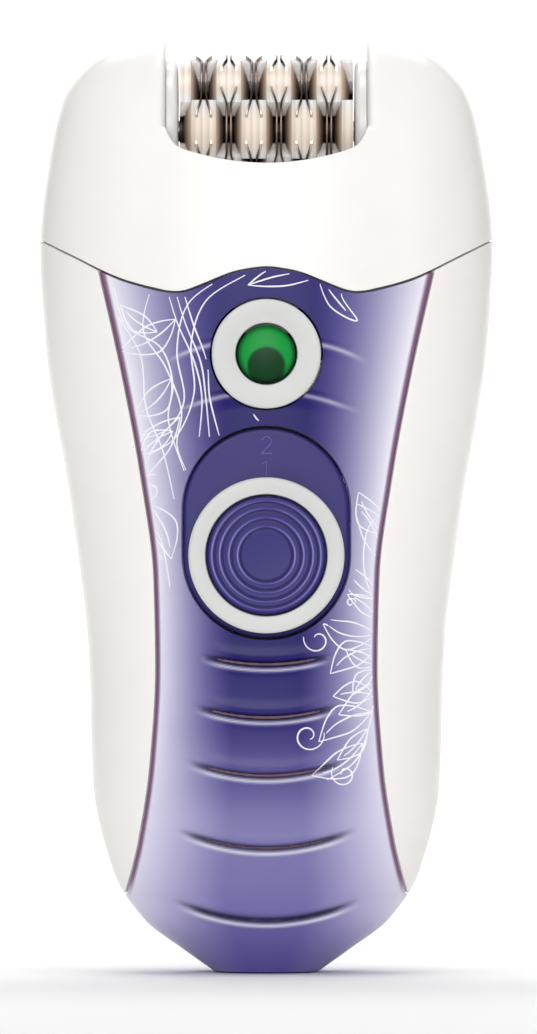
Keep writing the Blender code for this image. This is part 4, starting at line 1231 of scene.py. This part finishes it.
# The vines, in millimetres across and up: strands, leaves (base, tip, bulge, lean) and curls
# (centre, radius, start, turns). First beside the button, then left of the knob, then down the right.
STRANDS = (
    ((-3.0, 98.6), (-8.5, 95.0), (-10.6, 89.0), (-10.2, 82.0), (-12.6, 76.0), (-16.6, 73.2)),
    ((-5.5, 98.6), (-11.0, 94.6), (-12.6, 88.0), (-11.6, 81.0), (-14.2, 76.8), (-18.2, 75.4)),
    ((-21.6, 97.0), (-19.8, 91.5), (-15.0, 88.5), (-13.2, 83.4), (-13.8, 78.0), (-11.6, 71.0)),
    ((-21.2, 93.0), (-17.8, 87.4), (-17.0, 80.0), (-14.6, 73.8), (-13.0, 67.0)),
    ((-12.2, 98.0), (-10.4, 92.0), (-8.4, 86.4), (-8.0, 81.4), (-6.6, 75.8)),
    ((-13.3, 98.0), (-11.5, 92.0), (-9.28, 86.4), (-8.55, 81.4), (-8.03, 75.8)),
    ((-14.4, 98.0), (-12.6, 92.0), (-10.16, 86.4), (-9.1, 81.4), (-9.46, 75.8)),
    ((-16.0, 97.6), (-17.4, 91.0), (-14.2, 85.6), (-12.0, 79.6), (-12.6, 74.6), (-11.0, 70.4)),
    ((-2.6, 80.2), (-1.4, 78.4), (-0.6, 77.7)),
    ((7.2, 98.4), (9.0, 94.2), (12.8, 92.2), (10.6, 96.0), (14.4, 97.4)),
    ((8.4, 98.2), (8.8, 96.6), (11.2, 93.6)),
    ((-17.0, 64.0), (-14.8, 61.0), (-13.6, 54.6)),
    ((18.6, 69.0), (17.2, 63.0), (16.6, 56.0), (15.6, 48.0), (15.4, 40.0), (13.2, 31.0), (8.6, 27.4)),
    ((17.6, 66.0), (14.4, 63.0), (13.8, 57.0), (15.9, 50.6)),
)
LEAVES = (
    ((-9.6, 97.6), (-21.0, 98.0), 0.16, -0.08),
    ((-12.8, 92.4), (-20.8, 88.0), 0.22, 0.10),
    ((-13.4, 84.0), (-19.0, 78.8), 0.24, 0.12),
    ((-12.2, 78.6), (-17.6, 69.6), 0.2, -0.10),
    ((-2.6, 97.2), (9.6, 99.0), 0.13, 0.06),
    ((-16.8, 66.4), (-13.4, 58.6), 0.22, 0.1),
    ((16.5, 58.0), (12.2, 66.6), 0.2, -0.1),
    ((16.2, 53.0), (10.8, 58.4), 0.2, 0.12),
    ((15.6, 48.0), (7.6, 50.2), 0.24, 0.16),
    ((15.4, 46.0), (9.0, 42.4), 0.26, -0.14),
    ((15.4, 41.0), (10.2, 36.6), 0.26, 0.12),
    ((14.8, 37.0), (7.4, 32.8), 0.24, -0.12),
    ((13.6, 32.6), (6.4, 28.0), 0.22, 0.12),
    ((-15.4, 90.6), (-20.6, 94.4), 0.2, 0.08),
    ((-13.2, 76.6), (-17.8, 73.2), 0.23, -0.08),
    ((16.8, 62.0), (13.0, 68.0), 0.26, 0.08),
    ((15.9, 50.0), (11.4, 53.6), 0.2, -0.08),
    ((15.5, 43.6), (11.2, 45.8), 0.23, 0.08),
    ((15.3, 39.4), (9.4, 39.2), 0.26, -0.08),
    ((14.2, 34.6), (10.0, 30.2), 0.2, 0.08),
    ((15.2, 43.0), (12.2, 39.4), 0.23, -0.08),
)
CURLS = (
    ((-16.4, 68.4), 2.2, 1.2, 1.1),
    ((-15.8, 58.2), 1.2, 0.4, 0.9),
    ((7.2, 47.2), 2.5, 0.9, 1.25),
    ((5.9, 33.6), 2.3, 0.2, -1.2),
    ((11.0, 28.2), 1.9, 2.6, 1.1),
    ((11.9, 52.4), 0.75, 0.0, 0.98),
)


def flourish_paths():
    paths = [smooth_path(list(points)) for points in STRANDS]
    for place in LEAVES:
        paths += leaf(*place)
    return paths + [curl(*place) for place in CURLS]


def on_panel(x, z, proud):
    surface = raised(on_form(turn_at_x(x, z), z))
    return surface + Vector((0, -proud, 0))


def build_flourish():
    """The printed vines as fine raised lines that lie on the panel."""
    data = bpy.data.curves.new("flourish", "CURVE")
    data.dimensions = "3D"
    data.bevel_depth = 0.14 * MM
    data.bevel_resolution = 1
    data.use_fill_caps = True
    margin = 0.5 * MM
    for path in flourish_paths():
        run = []
        for x, z in [(p[0] * MM, p[1] * MM) for p in path] + [(1.0, 0.0)]:
            clear = abs(x) < panel_half(z) - margin and front_hole(x, z) > margin
            clear = clear and z < seam_z(x) - margin
            if clear:
                run.append(on_panel(x, z, 0.02 * MM))
            elif len(run) > 2:
                spline = data.splines.new("POLY")
                spline.points.add(len(run) - 1)
                for k, (point, place) in enumerate(zip(spline.points, run)):
                    point.co = (*place, 1)
                    point.radius = 0.55 + 0.45 * math.sin(math.pi * k / (len(run) - 1))
                run = []
            else:
                run = []
    made = bpy.data.objects.new("flourish", data)
    bpy.context.scene.collection.objects.link(made)
    data.materials.append(PRINT)
    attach(made, "handle")


def stroke_object(name, paths, y, finish, width):
    data = bpy.data.curves.new(name, "CURVE")
    data.dimensions = "3D"
    data.bevel_depth = width
    data.bevel_resolution = 2
    data.use_fill_caps = True
    for path in paths:
        spline = data.splines.new("POLY")
        spline.points.add(len(path) - 1)
        for point, (x, z) in zip(spline.points, path):
            point.co = (x * MM, y, z * MM, 1)
    made = bpy.data.objects.new(name, data)
    bpy.context.scene.collection.objects.link(made)
    data.materials.append(finish)
    return made


def build_marks():
    """Plain speed marks above the knob."""
    two = smooth_path([(-0.75, 75.3), (0.0, 75.9), (0.75, 75.2), (0.1, 74.3), (-0.7, 73.5)], 0.1)
    paths = [two, [(-0.7, 73.5), (0.8, 73.5)]]
    paths += [[(0.0, 70.4), (0.0, 72.4), (-0.5, 72.0)]]
    marks = stroke_object("speed_marks", paths, PLATE_FACE - 0.02 * MM, NUMERAL, 0.1 * MM)
    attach(marks, "handle")


# ---- carried-over parts

SLOT_FINISH = {
    "pearl_plastic": PEARL,
    "violet_plastic": VIOLET,
    "silver_plastic": SILVER,
    "green_lens": BOARD,
    "grey_plastic": GREY,
    "barrel_plastic": GREY,
    "spring_steel": STEEL,
    "steel": STEEL,
    "black_plastic": BLACK,
    "acetal": ACETAL,
    "brass": BRASS,
    "board": BOARD,
    "cell_wrap": CELL,
}


def dress_frame():
    """Gives every CAD node that stays in view its finish and smooth shading."""
    slots = {row["node"]: row["material_slot"] for row in frame["record"]["subparts"]}
    for name, node in frame["nodes"].items():
        node.data.materials.clear()
        node.data.materials.append(SLOT_FINISH[slots[name]])
        node.data.shade_smooth()
        node.data.set_sharp_from_angle(angle=math.radians(32))


dress_frame()
build_controls()
build_drum()
build_cradle()
build_flourish()
build_marks()

# ---- stage


def build_stage():
    floor = bpy.data.meshes.new("floor")
    rows = []
    profile = [(-3.0, 0.0), (2.3, 0.0)]
    for k in range(1, 13):
        t = math.pi / 2 * k / 12
        profile.append((2.3 + 0.5 * math.sin(t), 0.5 - 0.5 * math.cos(t)))
    profile.append((2.8, 2.6))
    bm = bmesh.new()
    for y, z in profile:
        rows.append([Vector((x, y, z - 0.0002)) for x in (-2.5, 2.5)])
    grid_into(bm, rows)
    bm.to_mesh(floor)
    bm.free()
    paper = finish_of("paper", (0.93, 0.93, 0.93, 1), 0.9, second=(0.91, 0.91, 0.91, 1), grain=60, bump=0.0)
    made = add_object("backdrop", floor, paper, angle=None)


MIDDLE = (0, 0, 0.066)
BACKDROP_AIM = (0, 2.7, 0.3)
# Name, place and aim in metres, width and height in metres, and power in watts.
LIGHTS = (
    ("front", (-0.05, -1.5, 0.45), MIDDLE, 0.55, 0.8, 9.3),
    ("key", (-0.6, -0.8, 0.5), MIDDLE, 0.16, 0.7, 0.75),
    ("fill", (0.65, -0.75, 0.3), MIDDLE, 0.16, 0.7, 0.95),
    ("top", (0, -0.05, 0.9), MIDDLE, 0.25, 0.25, 2.2),
    ("back_left", (-0.9, 1.9, 0.9), BACKDROP_AIM, 0.8, 0.8, 14),
    ("back_right", (0.9, 1.9, 0.9), BACKDROP_AIM, 0.8, 0.8, 14),
    ("back_floor", (0, 1.1, 1.3), (0, 1.7, 0), 1.4, 1.4, 23),
)


def build_lights():
    for name, place, aim, width, height, power in LIGHTS:
        lamp = bpy.data.lights.new(name, "AREA")
        lamp.shape = "RECTANGLE"
        lamp.size = width
        lamp.size_y = height
        lamp.energy = power
        made = bpy.data.objects.new(name, lamp)
        bpy.context.scene.collection.objects.link(made)
        made.location = place
        made.rotation_euler = (Vector(aim) - Vector(place)).to_track_quat("-Z", "Y").to_euler()


build_stage()
build_lights()

world = bpy.data.worlds.new("studio")
bpy.context.scene.world = world
world.use_nodes = True
world.node_tree.nodes["Background"].inputs["Color"].default_value = (1, 1, 1, 1)
world.node_tree.nodes["Background"].inputs["Strength"].default_value = 0.29

camera = bpy.data.cameras.new("camera")
camera.sensor_fit = "VERTICAL"
DISTANCE = 2.0
FRAME_HEIGHT = 146.8 * MM
SENSOR = 36
EYE_SHIFT = 0.3 * MM
EYE_BACK = 4.0 * MM
EYE_HEIGHT = 64.5 * MM
camera.sensor_height = SENSOR
camera.lens = SENSOR * DISTANCE / FRAME_HEIGHT
camera.clip_start = 0.01
camera.clip_end = 20
eye = bpy.data.objects.new("camera", camera)
bpy.context.scene.collection.objects.link(eye)
eye.location = (EYE_SHIFT, -DISTANCE - EYE_BACK, EYE_HEIGHT)
eye.rotation_euler = (math.pi / 2, 0, 0)
bpy.context.scene.camera = eye
bpy.context.scene.view_settings.view_transform = "Standard"
